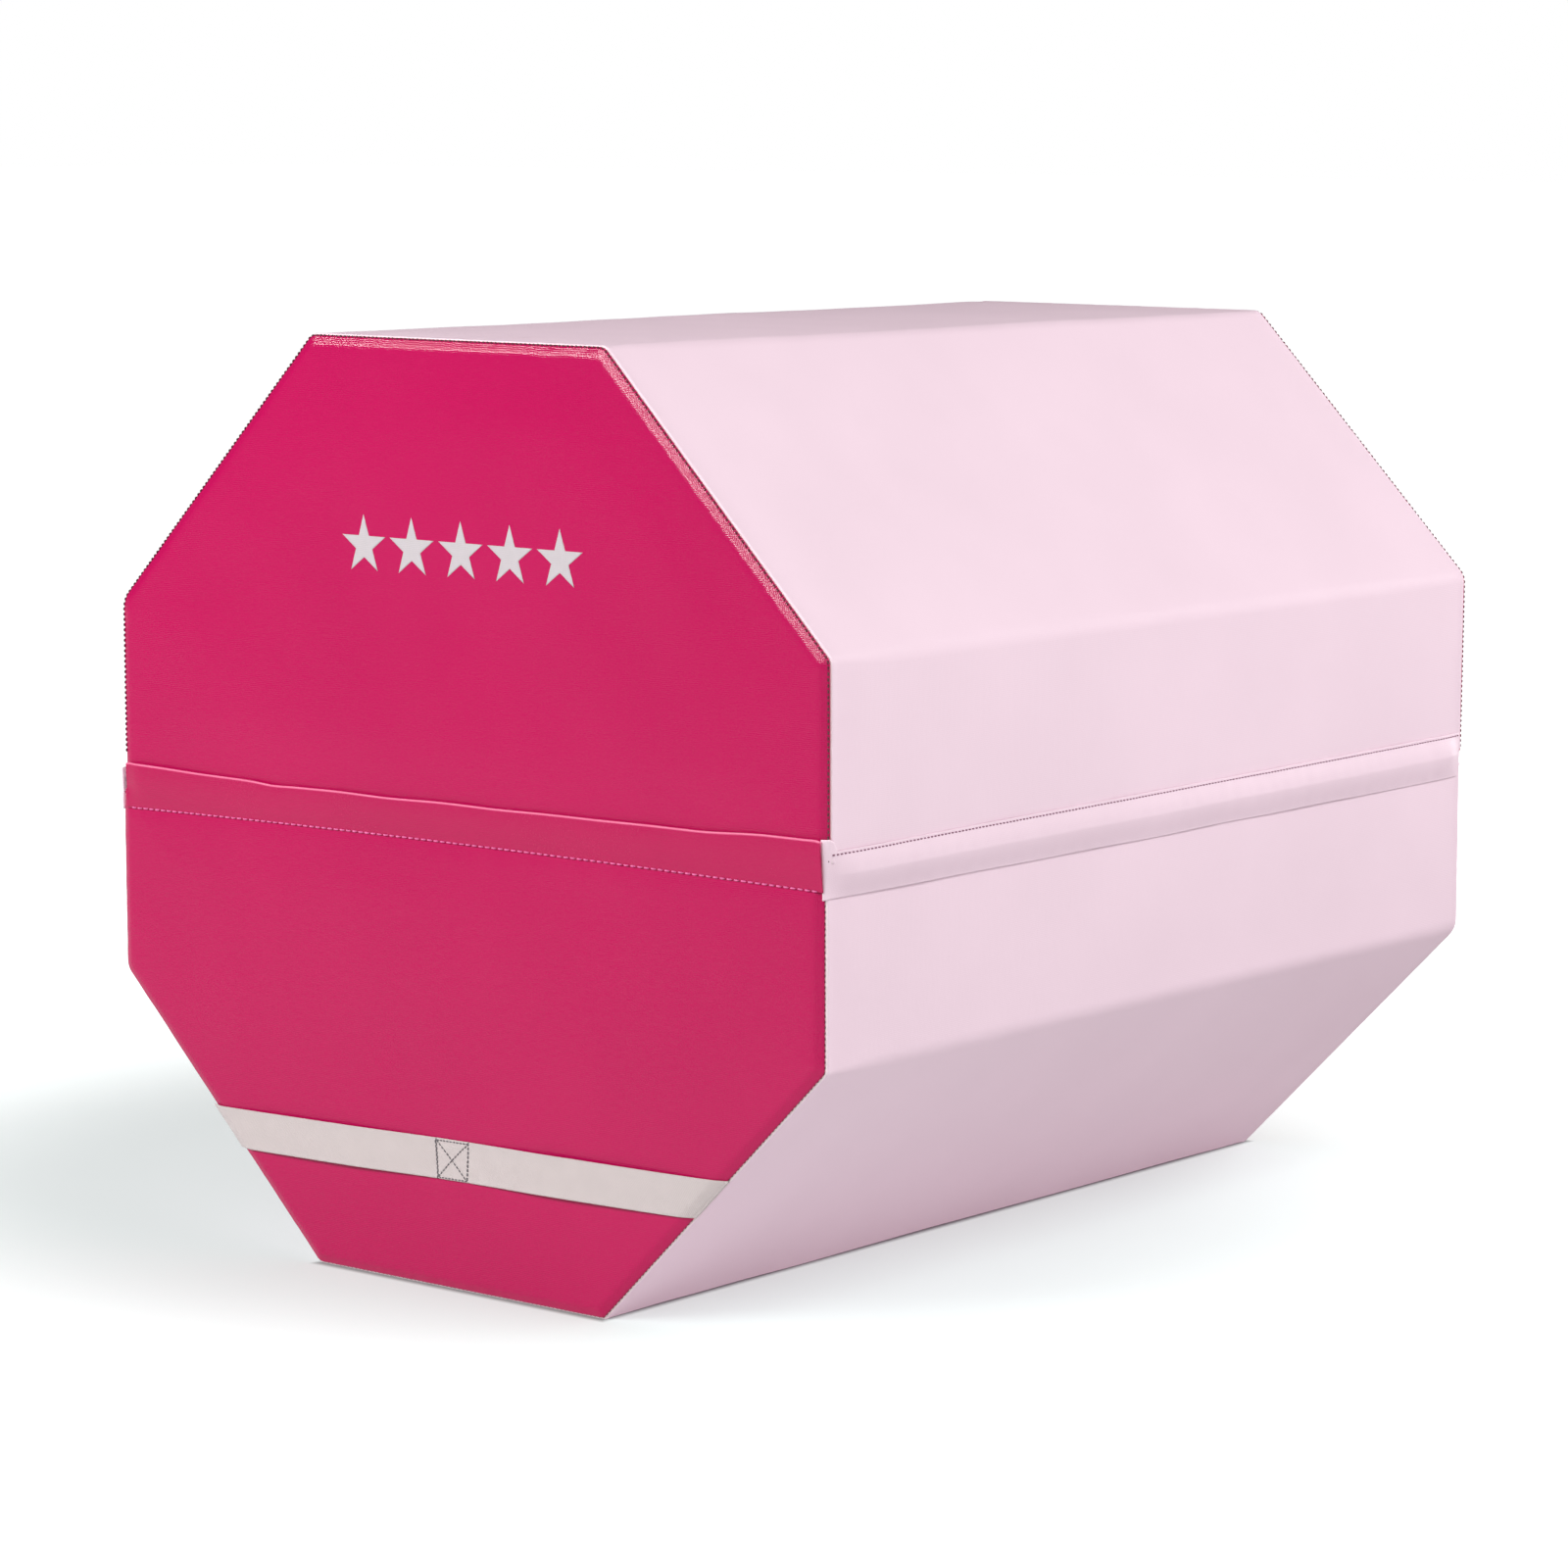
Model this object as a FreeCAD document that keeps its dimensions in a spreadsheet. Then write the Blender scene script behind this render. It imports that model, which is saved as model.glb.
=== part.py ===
"""Folding octagon tumbler: a soft eight-sided gymnastics block in two hinged halves.

The block is a regular octagonal prism lying on one flat.  Y runs along its length, Z is up, and the
origin is in the middle of the flat that it rests on.  A horizontal cut through the middle makes two
equal halves.  Each half is a stack of glued foam slabs in a sewn vinyl cover, whose cut face closes
with a zip.  A cloth hinge strip joins the halves along the right side.  Three flaps on the lower half
close over the joint with hook-and-loop tape at both ends and along the left side.
"""

import FreeCAD, Part

import math
import os

import Sketcher
from FreeCAD import Placement, Rotation, Vector

OUT = "parts"
SLABS = 6
SAME_PLACE = 0.01
ROOT2_LESS_1 = "(sqrt(2) - 1)"

# Driving dimensions, in millimetres.
DIMENSIONS = {
    "across": 635.0,           # across the flats of the octagon, 25 in
    "length": 762.0,           # along the prism, 30 in
    "skin": 1.0,               # vinyl-coated cloth
    "fold_radius": 20.0,       # where the cover bends round the foam
    "ease": 1.0,               # between the foam and the cloth round it
    "end_bevel": 6.0,          # where the end seams press into the edges of the foam
    "parting": 0.3,            # daylight between the two cut faces
    "flap_base": 18.0,         # stitched edge of a flap, below the parting plane
    "flap_rise": 14.5,         # free edge of a flap, above the parting plane
    "flap_skin": 1.6,          # two layers of cloth
    "flap_margin": 3.0,        # a flap stops this far short of each corner
    "flap_step": 2.7,          # a flap stands off the wall by this where it covers the tapes
    "tape_rise": 12.5,         # height of the hook and loop tapes
    "tape_skin": 1.1,
    "tape_margin": 4.0,        # the tapes stop this far short of the flap's ends
    "tape_foot": 1.2,          # lower edge of the tapes, above the parting plane
    "clearance": 0.3,          # between a flap and the wall behind it
    "strip_base": 20.0,        # lower edge of the hinge strip, below the parting plane
    "strip_rise": 9.0,         # upper edge of the hinge strip, above the parting plane
    "strip_skin": 1.2,
    "strip_bulge": 4.6,        # how far the hinge strip stands out
    "strap_width": 27.0,
    "strap_skin": 1.5,
    "strap_centre": 88.0,      # middle of the strap, above the floor
    "tack_width": 27.0,        # sewn box in the middle of the strap
    "tack_rise": 25.0,
    "thread": 0.7,
    "zip_gap": 6.0,            # half the opening between the two inner panels
    "hem": 12.0,
    "zip_end": 16.0,           # from the end panel to the first stop
    "zip_tape_width": 12.0,
    "zip_tape_skin": 0.6,
    "coil_width": 2.9,         # one side of the zip coil
    "coil_rise": 2.6,
    "coil_apart": 0.05,        # half the space between the two sides
    "groove_half": 20.0,       # half the groove in the foam under the zip
    "groove_deep": 5.4,        # below the parting plane
    "slider_length": 11.0,
    "slider_half": 4.4,
    "slider_rise": 4.4,
    "slider_plate": 0.8,
    "slider_nose": 0.6,        # metal in front of the bridge
    "slider_play": 0.2,        # between the slider and what it runs on
    "play": 0.4,               # between the slider and the first stop, or the first tooth
    "bridge_radius": 1.1,
    "stop_length": 3.0,
}

doc = FreeCAD.newDocument("folding_octagon")
dims = doc.addObject("Spreadsheet::Sheet", "dims")
for row, (alias, value) in enumerate(DIMENSIONS.items(), start=1):
    dims.set(f"A{row}", alias)
    dims.set(f"B{row}", str(value))
    dims.setAlias(f"B{row}", alias)
doc.recompute()

finished = []


def number(expression):
    """The value in millimetres of an expression in the sheet's names."""
    found = dims.evalExpression(expression.replace("dims.", ""))
    return float(getattr(found, "Value", found))


def keep(item, label):
    """Marks an object as a finished sub-part and names it."""
    item.Label = label
    finished.append(item)
    return item


def bind(item, **expressions):
    """Binds properties to expressions. Two underscores stand for a dot."""
    for name, expression in expressions.items():
        item.setExpression(name.replace("__", "."), str(expression))
    return item


def place(item, x="0", y="0", z="0"):
    """Puts an object at a point given as three expressions, in millimetres."""
    for axis, expression in zip("xyz", (x, y, z)):
        item.setExpression(f"Placement.Base.{axis}", f"({expression}) * 1 mm")
    return item


# ---- building blocks ------------------------------------------------------------------------------


def pin_to_origin(sketch, geometry, corner, axis, expression):
    """Fixes one coordinate of a sketch point to an expression."""
    value = number(expression)
    if abs(value) < 1e-9:
        line = -2 if axis == "X" else -1
        sketch.addConstraint(Sketcher.Constraint("PointOnObject", geometry, corner, line))
        return
    ends = (-1, 1, geometry, corner) if value > 0 else (geometry, corner, -1, 1)
    size = f"({expression})" if value > 0 else f"-({expression})"
    index = sketch.addConstraint(Sketcher.Constraint("Distance" + axis, *ends, abs(value)))
    sketch.setExpression(f"Constraints[{index}]", f"({size}) * 1 mm")


def outline(body, name, plane, corners):
    """A closed sketch of straight lines through corners, each a pair of expressions."""
    sketch = body.newObject("Sketcher::SketchObject", name)
    support = next(f for f in body.Origin.OriginFeatures if f.Role == plane)
    sketch.AttachmentSupport = [(support, "")]
    sketch.MapMode = "FlatFace"
    points = [Vector(number(x), number(z), 0) for x, z in corners]
    count = len(points)
    for i in range(count):
        sketch.addGeometry(Part.LineSegment(points[i], points[(i + 1) % count]), False)
    for i in range(count):
        sketch.addConstraint(Sketcher.Constraint("Coincident", i, 2, (i + 1) % count, 1))
    for i, (x, z) in enumerate(corners):
        pin_to_origin(sketch, i, 1, "X", x)
        pin_to_origin(sketch, i, 1, "Y", z)
    return sketch


def padded_body(name, plane, corners, depth):
    """A body made by padding an outline both ways from its plane."""
    body = doc.addObject("PartDesign::Body", name)
    sketch = outline(body, name + "_outline", plane, corners)
    pad = body.newObject("PartDesign::Pad", name + "_pad")
    pad.Profile = sketch
    pad.Midplane = True
    bind(pad, Length=f"({depth}) * 1 mm")
    sketch.Visibility = False
    doc.recompute()
    return body


def round_folds(body, folds, radius):
    """Rounds the edges of a body that run along Y through the given corners."""
    base = body.Tip
    wanted = [(number(x), number(z)) for x, z in folds]
    names = []
    for i, edge in enumerate(base.Shape.Edges, start=1):
        ends = [vertex.Point for vertex in edge.Vertexes]
        if len(ends) != 2 or abs(ends[0].y - ends[1].y) < SAME_PLACE:
            continue
        if any(math.hypot(ends[0].x - x, ends[0].z - z) < SAME_PLACE for x, z in wanted):
            names.append(f"Edge{i}")
    if len(names) != len(folds):
        raise ValueError(f"{body.Name}: {len(names)} edges found for {len(folds)} folds")
    fillet = body.newObject("PartDesign::Fillet", f"{base.Name}_round")
    fillet.Base = (base, names)
    bind(fillet, Radius=f"({radius}) * 1 mm")
    doc.recompute()
    return body


def bevel_ends(body, depth, cut, size):
    """Bevels the outline of both ends of a body, except along its cut face."""
    base = body.Tip
    end, cut_level = number(depth) / 2, number(cut)
    names = []
    for i, edge in enumerate(base.Shape.Edges, start=1):
        span = edge.BoundBox
        at_end = abs(abs(span.YMin) - end) < SAME_PLACE and span.YLength < SAME_PLACE
        on_cut = abs(span.ZMin - cut_level) < SAME_PLACE and span.ZLength < SAME_PLACE
        if at_end and not on_cut:
            names.append(f"Edge{i}")
    bevel = body.newObject("PartDesign::Chamfer", f"{body.Name}_bevel")
    bevel.Base = (base, names)
    bind(bevel, Size=f"({size}) * 1 mm")
    doc.recompute()
    return body


def box(name, low, high):
    """A Part::Box between two corners given as expressions."""
    item = doc.addObject("Part::Box", name)
    spans = {p: f"(({b}) - ({a})) * 1 mm" for p, a, b in zip(("Length", "Width", "Height"), low, high)}
    bind(item, **spans)
    return place(item, *low)


def boolean(kind, name, base, tool):
    """A Part::Cut, Part::Common or Part::Fuse of two objects."""
    item = doc.addObject(f"Part::{kind}", name)
    item.Base = base
    item.Tool = tool
    return item


# ---- places shared by several pieces --------------------------------------------------------------

CENTRE = "dims.across / 2"
HALF_LENGTH = "dims.length / 2"
INSIDE_LENGTH = "(dims.length - 2 * dims.skin)"


def level(half, offset):
    """A height measured away from the middle plane, into the named half."""
    return f"({CENTRE} {'+' if half == 'upper' else '-'} ({offset}))"


def half_octagon(half, inset, cut):
    """Corners of half an octagon: its cut edge, then its four folds, then its cut edge again."""
    reach = f"({CENTRE} - {inset})"
    short = f"({reach} * {ROOT2_LESS_1})"
    return [
        (f"-{reach}", level(half, cut)),
        (f"-{reach}", level(half, short)),
        (f"-{short}", level(half, reach)),
        (short, level(half, reach)),
        (reach, level(half, short)),
        (reach, level(half, cut)),
    ]


# ---- one half: foam, cover and zip ----------------------------------------------------------------


def foam_slabs(half):
    """Six glued slabs cut to the half-octagon, counted from the outside towards the cut face."""
    inset = "(dims.skin + dims.ease)"
    top = f"(dims.parting / 2 + {inset})"
    depth = f"(dims.length - 2 * {inset})"
    corners = half_octagon(half, inset, top)
    core = padded_body(f"{half}_core", "XZ_Plane", corners, depth)
    round_folds(core, corners[1:5], f"dims.fold_radius - {inset}")
    bevel_ends(core, depth, corners[0][1], "dims.end_bevel")
    stack = f"({CENTRE} - {inset} - {top})"
    for i in range(SLABS):
        far = f"({CENTRE} - {inset} - {stack} * {i} / {SLABS})"
        near = f"({CENTRE} - {inset} - {stack} * {i + 1} / {SLABS})"
        ends = (far, near) if half == "lower" else (near, far)
        low = (f"-{CENTRE}", f"-({HALF_LENGTH})", level(half, ends[0]))
        high = (CENTRE, HALF_LENGTH, level(half, ends[1]))
        slab = boolean("Common", f"{half}_slab_{i + 1}", core, box(f"{half}_slab_box_{i + 1}", low, high))
        if i == SLABS - 1:
            slab = boolean("Cut", f"{half}_grooved_slab", slab, zip_groove(half))
        keep(slab, f"{half}_foam_slab_{i + 1}")


def zip_groove(half):
    """The channel in the foam that the zip lies in."""
    ends = ("dims.groove_deep", "0") if half == "lower" else ("0", "dims.groove_deep")
    low = ("-dims.groove_half", f"-({HALF_LENGTH})", level(half, ends[0]))
    high = ("dims.groove_half", HALF_LENGTH, level(half, ends[1]))
    return box(f"{half}_groove", low, high)


def wrap_cover(half):
    """One strip of cloth round the five outer flats of a half, folded softly at each corner."""
    outer = half_octagon(half, "0", "dims.parting / 2")
    inner = half_octagon(half, "dims.skin", "dims.parting / 2")
    body = padded_body(f"{half}_wrap", "XZ_Plane", outer + inner[::-1], INSIDE_LENGTH)
    round_folds(body, outer[1:5], "dims.fold_radius")
    round_folds(body, inner[1:5], "dims.fold_radius - dims.skin")
    keep(body, f"{half}_wrap_cover")


def end_panels(half):
    """The half-octagon panel at each end."""
    corners = half_octagon(half, "0", "dims.parting / 2")
    for end, sign in (("front", "-"), ("rear", "")):
        body = padded_body(f"{half}_{end}_end", "XZ_Plane", corners, "dims.skin")
        round_folds(body, corners[1:5], "dims.fold_radius")
        place(body, y=f"{sign}(dims.length - dims.skin) / 2")
        keep(body, f"{half}_{end}_end_panel")


def inner_panels(half):
    """Two panels over the cut face, each with a turned hem that holds one side of the zip."""
    wall = f"({CENTRE} - dims.skin)"
    face = "dims.parting / 2"
    for side, sign in (("left", "-"), ("right", "")):
        corners = [
            (f"{sign}{wall}", level(half, face)),
            (f"{sign}dims.zip_gap", level(half, face)),
            (f"{sign}dims.zip_gap", level(half, f"{face} + 2 * dims.skin")),
            (f"{sign}(dims.zip_gap + dims.hem)", level(half, f"{face} + 2 * dims.skin")),
            (f"{sign}(dims.zip_gap + dims.hem)", level(half, f"{face} + dims.skin")),
            (f"{sign}{wall}", level(half, f"{face} + dims.skin")),
        ]
        body = padded_body(f"{half}_inner_{side}", "XZ_Plane", corners, INSIDE_LENGTH)
        keep(body, f"{half}_inner_panel_{side}")


def zip_level(half, offset):
    """A height measured from the middle of the zip tape, positive into the foam."""
    middle = "dims.parting / 2 + 2 * dims.skin + dims.zip_tape_skin / 2"
    return level(half, f"{middle} + ({offset})")


def zip_span(half, rise):
    """Lowest and highest level of a piece centred on the zip tape."""
    ends = (f"({rise}) / 2", f"-({rise}) / 2")
    return [zip_level(half, e) for e in (ends if half == "lower" else ends[::-1])]


def sided_box(name, side, near, far, y_span, z_span):
    """A box between two distances from the middle of the zip, on its left or its right."""
    low, high = (f"-({far})", f"-({near})") if side == "left" else (near, far)
    return box(name, (low, y_span[0], z_span[0]), (high, y_span[1], z_span[1]))


def zip_fastener(half):
    """Tapes, coils and stops of the zip down the middle of the cut face, and its slider."""
    coil_far = "(dims.coil_apart + dims.coil_width)"
    full = (f"-({HALF_LENGTH} - dims.skin)", f"({HALF_LENGTH} - dims.skin)")
    first = f"-({HALF_LENGTH} - dims.skin - dims.zip_end)"
    last = f"({HALF_LENGTH} - dims.skin - dims.zip_end)"
    bridge = f"({first} + dims.stop_length + dims.bridge_radius + dims.slider_nose + dims.play)"
    coil = (f"({bridge} + dims.bridge_radius + dims.play)", f"({last} - dims.stop_length)")
    tape_span = zip_span(half, "dims.zip_tape_skin")
    coil_span = zip_span(half, "dims.coil_rise")
    stops = []
    for side in ("left", "right"):
        far = f"({coil_far} + dims.zip_tape_width)"
        tape = sided_box(f"{half}_tape_{side}", side, coil_far, far, full, tape_span)
        keep(tape, f"{half}_zip_tape_{side}")
        teeth = sided_box(f"{half}_coil_{side}", side, "dims.coil_apart", coil_far, coil, coil_span)
        keep(teeth, f"{half}_zip_coil_{side}")
        top = (first, f"({first} + dims.stop_length)")
        stops.append(sided_box(f"{half}_stop_{side}", side, "dims.coil_width / 4", coil_far, top, coil_span))
    low = (f"-{coil_far}", f"({last} - dims.stop_length)", coil_span[0])
    stops.append(box(f"{half}_stop_end", low, (coil_far, last, coil_span[1])))
    group = doc.addObject("Part::Compound", f"{half}_stops")
    group.Links = stops
    keep(group, f"{half}_zip_stops")
    zip_slider(half, bridge)


def zip_slider(half, bridge):
    """A slider with two plates, side flanges and a bridge at its nose, and no pull tab."""
    name = f"{half}_slider"
    nose = f"({bridge} - dims.bridge_radius - dims.slider_nose)"
    tail = f"({nose} + dims.slider_length)"
    narrow = "(dims.slider_half - 0.5)"
    shoulder = f"({nose} + 0.25 * dims.slider_length)"
    waist = f"({nose} + 0.55 * dims.slider_length)"
    corners = [
        (f"-{narrow}", nose),
        (narrow, nose),
        ("dims.slider_half", shoulder),
        ("dims.slider_half", waist),
        (narrow, tail),
        (f"-{narrow}", tail),
        ("-dims.slider_half", waist),
        ("-dims.slider_half", shoulder),
    ]
    block = padded_body(f"{name}_block", "XY_Plane", corners, "dims.slider_rise")
    place(block, z=zip_level(half, "0"))
    inside = zip_span(half, "dims.slider_rise - 2 * dims.slider_plate")
    slot = zip_span(half, "dims.zip_tape_skin + 2 * dims.slider_play")
    across = "(dims.coil_apart + dims.coil_width + dims.slider_play)"
    ends = (f"({nose} - 1)", f"({tail} + 1)")
    channel = box(f"{name}_channel", (f"-{across}", ends[0], inside[0]), (across, ends[1], inside[1]))
    wide = "(2 * dims.slider_half)"
    opening = box(f"{name}_slot", (f"-{wide}", ends[0], slot[0]), (wide, ends[1], slot[1]))
    hollow = boolean("Cut", f"{name}_hollow", block, channel)
    flanged = boolean("Cut", f"{name}_flanged", hollow, opening)
    post = doc.addObject("Part::Cylinder", f"{name}_bridge")
    bind(post, Radius="dims.bridge_radius * 1 mm", Height="(dims.slider_rise - dims.slider_plate) * 1 mm")
    place(post, y=bridge, z=zip_span(half, "dims.slider_rise - dims.slider_plate")[0])
    keep(boolean("Fuse", f"{name}_whole", flanged, post), f"{half}_zip_slider")


# ---- what joins the halves ------------------------------------------------------------------------


def flap_profile(wall):
    """Section of a flap: flat on the wall at its stitched edge, stepped out over the tapes above it."""
    base = f"({CENTRE} - dims.flap_base)"
    rise = f"({CENTRE} + dims.flap_rise)"
    step_foot = f"({CENTRE} - dims.flap_step)"
    step_head = f"({CENTRE} + dims.tape_foot - dims.clearance)"
    near = f"-({wall} + dims.clearance)"
    far = f"-({wall} + dims.clearance + dims.flap_step)"
    skin = "dims.flap_skin"
    return [
        (near, base),
        (near, step_foot),
        (far, step_head),
        (far, rise),
        (f"({far} - {skin})", rise),
        (f"({far} - {skin})", step_head),
        (f"({near} - {skin})", step_foot),
        (f"({near} - {skin})", base),
    ]


def closing_flaps():
    """The two end flaps and the left flap, each with hook tape that meets loop tape on the upper half."""
    end_half = f"({CENTRE} - dims.flap_margin)"
    side_half = f"({HALF_LENGTH} - dims.flap_margin)"
    foot = f"({CENTRE} + dims.tape_foot)"
    head = f"({CENTRE} + dims.tape_foot + dims.tape_rise)"
    tape_end = f"({end_half} - dims.tape_margin)"
    tape_side = f"({side_half} - dims.tape_margin)"

    front = padded_body("front_flap_body", "YZ_Plane", flap_profile(HALF_LENGTH), f"2 * {end_half}")
    keep(front, "front_flap")
    rear = padded_body("rear_flap_body", "YZ_Plane", flap_profile(HALF_LENGTH), f"2 * {end_half}")
    rear.Placement = Placement(Vector(0, 0, 0), Rotation(Vector(0, 0, 1), 180))
    keep(rear, "rear_flap")
    left = padded_body("left_flap_body", "XZ_Plane", flap_profile(CENTRE), f"2 * {side_half}")
    keep(left, "left_flap")

    for kind, inner, owner in (
        ("loop", "0", "upper_"),
        ("hook", "(dims.clearance + dims.flap_step - dims.tape_skin)", ""),
    ):
        near, far = f"({inner})", f"({inner} + dims.tape_skin)"
        keep(
            box(
                f"front_{kind}",
                (f"-{tape_end}", f"-({HALF_LENGTH} + {far})", foot),
                (tape_end, f"-({HALF_LENGTH} + {near})", head),
            ),
            f"{owner}front_{kind}_tape",
        )
        keep(
            box(
                f"rear_{kind}",
                (f"-{tape_end}", f"({HALF_LENGTH} + {near})", foot),
                (tape_end, f"({HALF_LENGTH} + {far})", head),
            ),
            f"{owner}rear_{kind}_tape",
        )
        keep(
            box(
                f"left_{kind}",
                (f"-({CENTRE} + {far})", f"-{tape_side}", foot),
                (f"-({CENTRE} + {near})", tape_side, head),
            ),
            f"{owner}left_{kind}_tape",
        )


def hinge_strip():
    """The cloth hinge along the right side: a shallow arch sewn to both halves."""
    chord = "((dims.strip_base + dims.strip_rise) / 2)"
    bend = f"(({chord} * {chord} + dims.strip_bulge * dims.strip_bulge) / (2 * dims.strip_bulge))"
    middle = f"({CENTRE} + (dims.strip_rise - dims.strip_base) / 2)"
    run = "(dims.length - 2 * dims.flap_margin)"
    shells = []
    for name, radius in (("outer", bend), ("inner", f"({bend} - dims.strip_skin)")):
        drum = doc.addObject("Part::Cylinder", f"strip_{name}")
        drum.Placement = Placement(Vector(0, 0, 0), Rotation(Vector(1, 0, 0), -90))
        bind(drum, Radius=f"{radius} * 1 mm", Height=f"{run} * 1 mm")
        centre = f"({CENTRE} + dims.strip_bulge - {bend})"
        shells.append(place(drum, x=centre, y=f"-{run} / 2", z=middle))
    arch = boolean("Cut", "strip_arch", *shells)
    low = (f"({CENTRE} + dims.clearance)", f"-{HALF_LENGTH}", f"({CENTRE} - dims.strip_base)")
    high = (f"({CENTRE} + 2 * dims.strip_bulge)", HALF_LENGTH, f"({CENTRE} + dims.strip_rise)")
    keep(boolean("Common", "strip_whole", arch, box("strip_window", low, high)), "hinge_strip")


# ---- carrying straps ------------------------------------------------------------------------------


def handle_strap(end, sign):
    """Webbing across the lower half's end, sewn into both slanting seams and tacked in the middle."""
    low = "(dims.strap_centre - dims.strap_width / 2)"
    high = "(dims.strap_centre + dims.strap_width / 2)"
    foot = f"({CENTRE} * {ROOT2_LESS_1})"
    corners = [
        (f"-({foot} + {low})", low),
        (f"({foot} + {low})", low),
        (f"({foot} + {high})", high),
        (f"-({foot} + {high})", high),
    ]
    strap = padded_body(f"{end}_strap", "XZ_Plane", corners, "dims.strap_skin")
    place(strap, y=f"{sign}({HALF_LENGTH} + dims.strap_skin / 2)")
    keep(strap, f"{end}_handle_strap")
    keep(box_tack(end, sign), f"{end}_handle_box_stitch")


def box_tack(end, sign):
    """The sewn square with its two diagonals, as one net of thread lying on the strap."""
    near = f"({HALF_LENGTH} + dims.strap_skin)"
    far = f"({near} + dims.thread / 2)"
    y_low, y_high = (f"-{far}", f"-{near}") if sign else (near, far)
    half_x, half_z = "dims.tack_width / 2", "dims.tack_rise / 2"

    def plate(name, inset):
        low = (f"-({half_x} - {inset})", y_low, f"(dims.strap_centre - {half_z} + {inset})")
        high = (f"({half_x} - {inset})", y_high, f"(dims.strap_centre + {half_z} - {inset})")
        return box(f"{end}_{name}", low, high)

    net = [boolean("Cut", f"{end}_tack_square", plate("tack_outer", "0"), plate("tack_inner", "dims.thread"))]
    slope = "atan(dims.tack_rise / dims.tack_width)"
    run = "(sqrt(dims.tack_width ^ 2 + dims.tack_rise ^ 2) - 2 * dims.thread)"
    for name, turn in (("falling", f"{slope}"), ("rising", f"-{slope}")):
        bar = doc.addObject("Part::Box", f"{end}_tack_{name}")
        bind(bar, Length=f"{run} * 1 mm", Width="dims.thread / 2 * 1 mm", Height="dims.thread * 1 mm")
        bar.Placement = Placement(Vector(0, 0, 0), Rotation(Vector(0, 1, 0), 1))
        bar.setExpression("Placement.Rotation.Angle", turn)
        along, across = f"{run} / 2", "dims.thread / 2"
        # The bar turns about its own corner, which lies half its length and height from the centre.
        place(
            bar,
            x=f"-({along}) * cos({turn}) - ({across}) * sin({turn})",
            y=y_low,
            z=f"dims.strap_centre + ({along}) * sin({turn}) - ({across}) * cos({turn})",
        )
        net.append(bar)
    joined = doc.addObject("Part::MultiFuse", f"{end}_tack")
    joined.Shapes = net
    return joined


# ---- assembly -------------------------------------------------------------------------------------

for half in ("lower", "upper"):
    foam_slabs(half)
    wrap_cover(half)
    end_panels(half)
    inner_panels(half)
    zip_fastener(half)
closing_flaps()
hinge_strip()
handle_strap("front", "-")
handle_strap("rear", "")
doc.recompute()

for item in doc.Objects:
    if {"Invalid", "Error"} & set(item.State):
        raise RuntimeError(f"{item.Label} failed: {item.State}")

os.makedirs(OUT, exist_ok=True)
for name in os.listdir(OUT):
    os.remove(os.path.join(OUT, name))
for item in finished:
    shape = item.Shape
    if shape.isNull() or not shape.isValid() or not shape.Solids or shape.Volume <= 0:
        raise RuntimeError(f"{item.Label} has no valid solid")
    shape.exportStep(os.path.join(OUT, f"{item.Label}.step"))
    size = shape.BoundBox
    print(
        f"{item.Label:28s} {len(shape.Solids)} solid(s) {shape.Volume / 1000:10.2f} cm3"
        f"  {size.XLength:7.1f} {size.YLength:7.1f} {size.ZLength:7.1f}"
    )
print(len(finished), "sub-parts")
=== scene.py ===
"""Looks of the folding octagon tumbler: sewn vinyl covers, flaps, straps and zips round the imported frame.

Lengths are millimetres up to the moment a mesh is made.  A piece is worked out in one of three
sets of coordinates: round the half-octagon (x, and h away from the parting plane), on one of the
four upright sides (along it, out from it, and z), or on a cut face (x, y and depth into the half).
"""

import math

import bmesh
import bpy
import numpy as np
from mathutils import Matrix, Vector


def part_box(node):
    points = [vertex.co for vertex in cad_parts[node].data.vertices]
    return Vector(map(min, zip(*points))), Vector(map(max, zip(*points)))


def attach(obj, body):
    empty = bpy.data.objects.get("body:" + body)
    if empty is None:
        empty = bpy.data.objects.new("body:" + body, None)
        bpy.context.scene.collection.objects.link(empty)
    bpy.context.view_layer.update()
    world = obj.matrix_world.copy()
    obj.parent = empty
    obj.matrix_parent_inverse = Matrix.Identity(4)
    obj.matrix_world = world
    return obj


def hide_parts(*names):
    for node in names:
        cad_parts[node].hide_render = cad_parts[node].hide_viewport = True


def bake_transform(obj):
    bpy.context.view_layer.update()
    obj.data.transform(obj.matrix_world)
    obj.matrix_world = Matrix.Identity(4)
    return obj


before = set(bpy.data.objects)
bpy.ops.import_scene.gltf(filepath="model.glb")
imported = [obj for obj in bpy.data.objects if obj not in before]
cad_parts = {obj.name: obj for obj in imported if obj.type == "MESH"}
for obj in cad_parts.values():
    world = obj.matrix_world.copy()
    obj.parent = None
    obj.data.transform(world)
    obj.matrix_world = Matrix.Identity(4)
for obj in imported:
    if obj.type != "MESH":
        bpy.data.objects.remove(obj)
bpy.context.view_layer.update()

MM = 0.001
TURN = 2 * math.pi

# ---- places read from the frame ----


def span(node, axis):
    """Lowest and highest place of a CAD node along an axis, in millimetres."""
    low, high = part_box(node)
    return low[axis] / MM, high[axis] / MM


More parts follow.
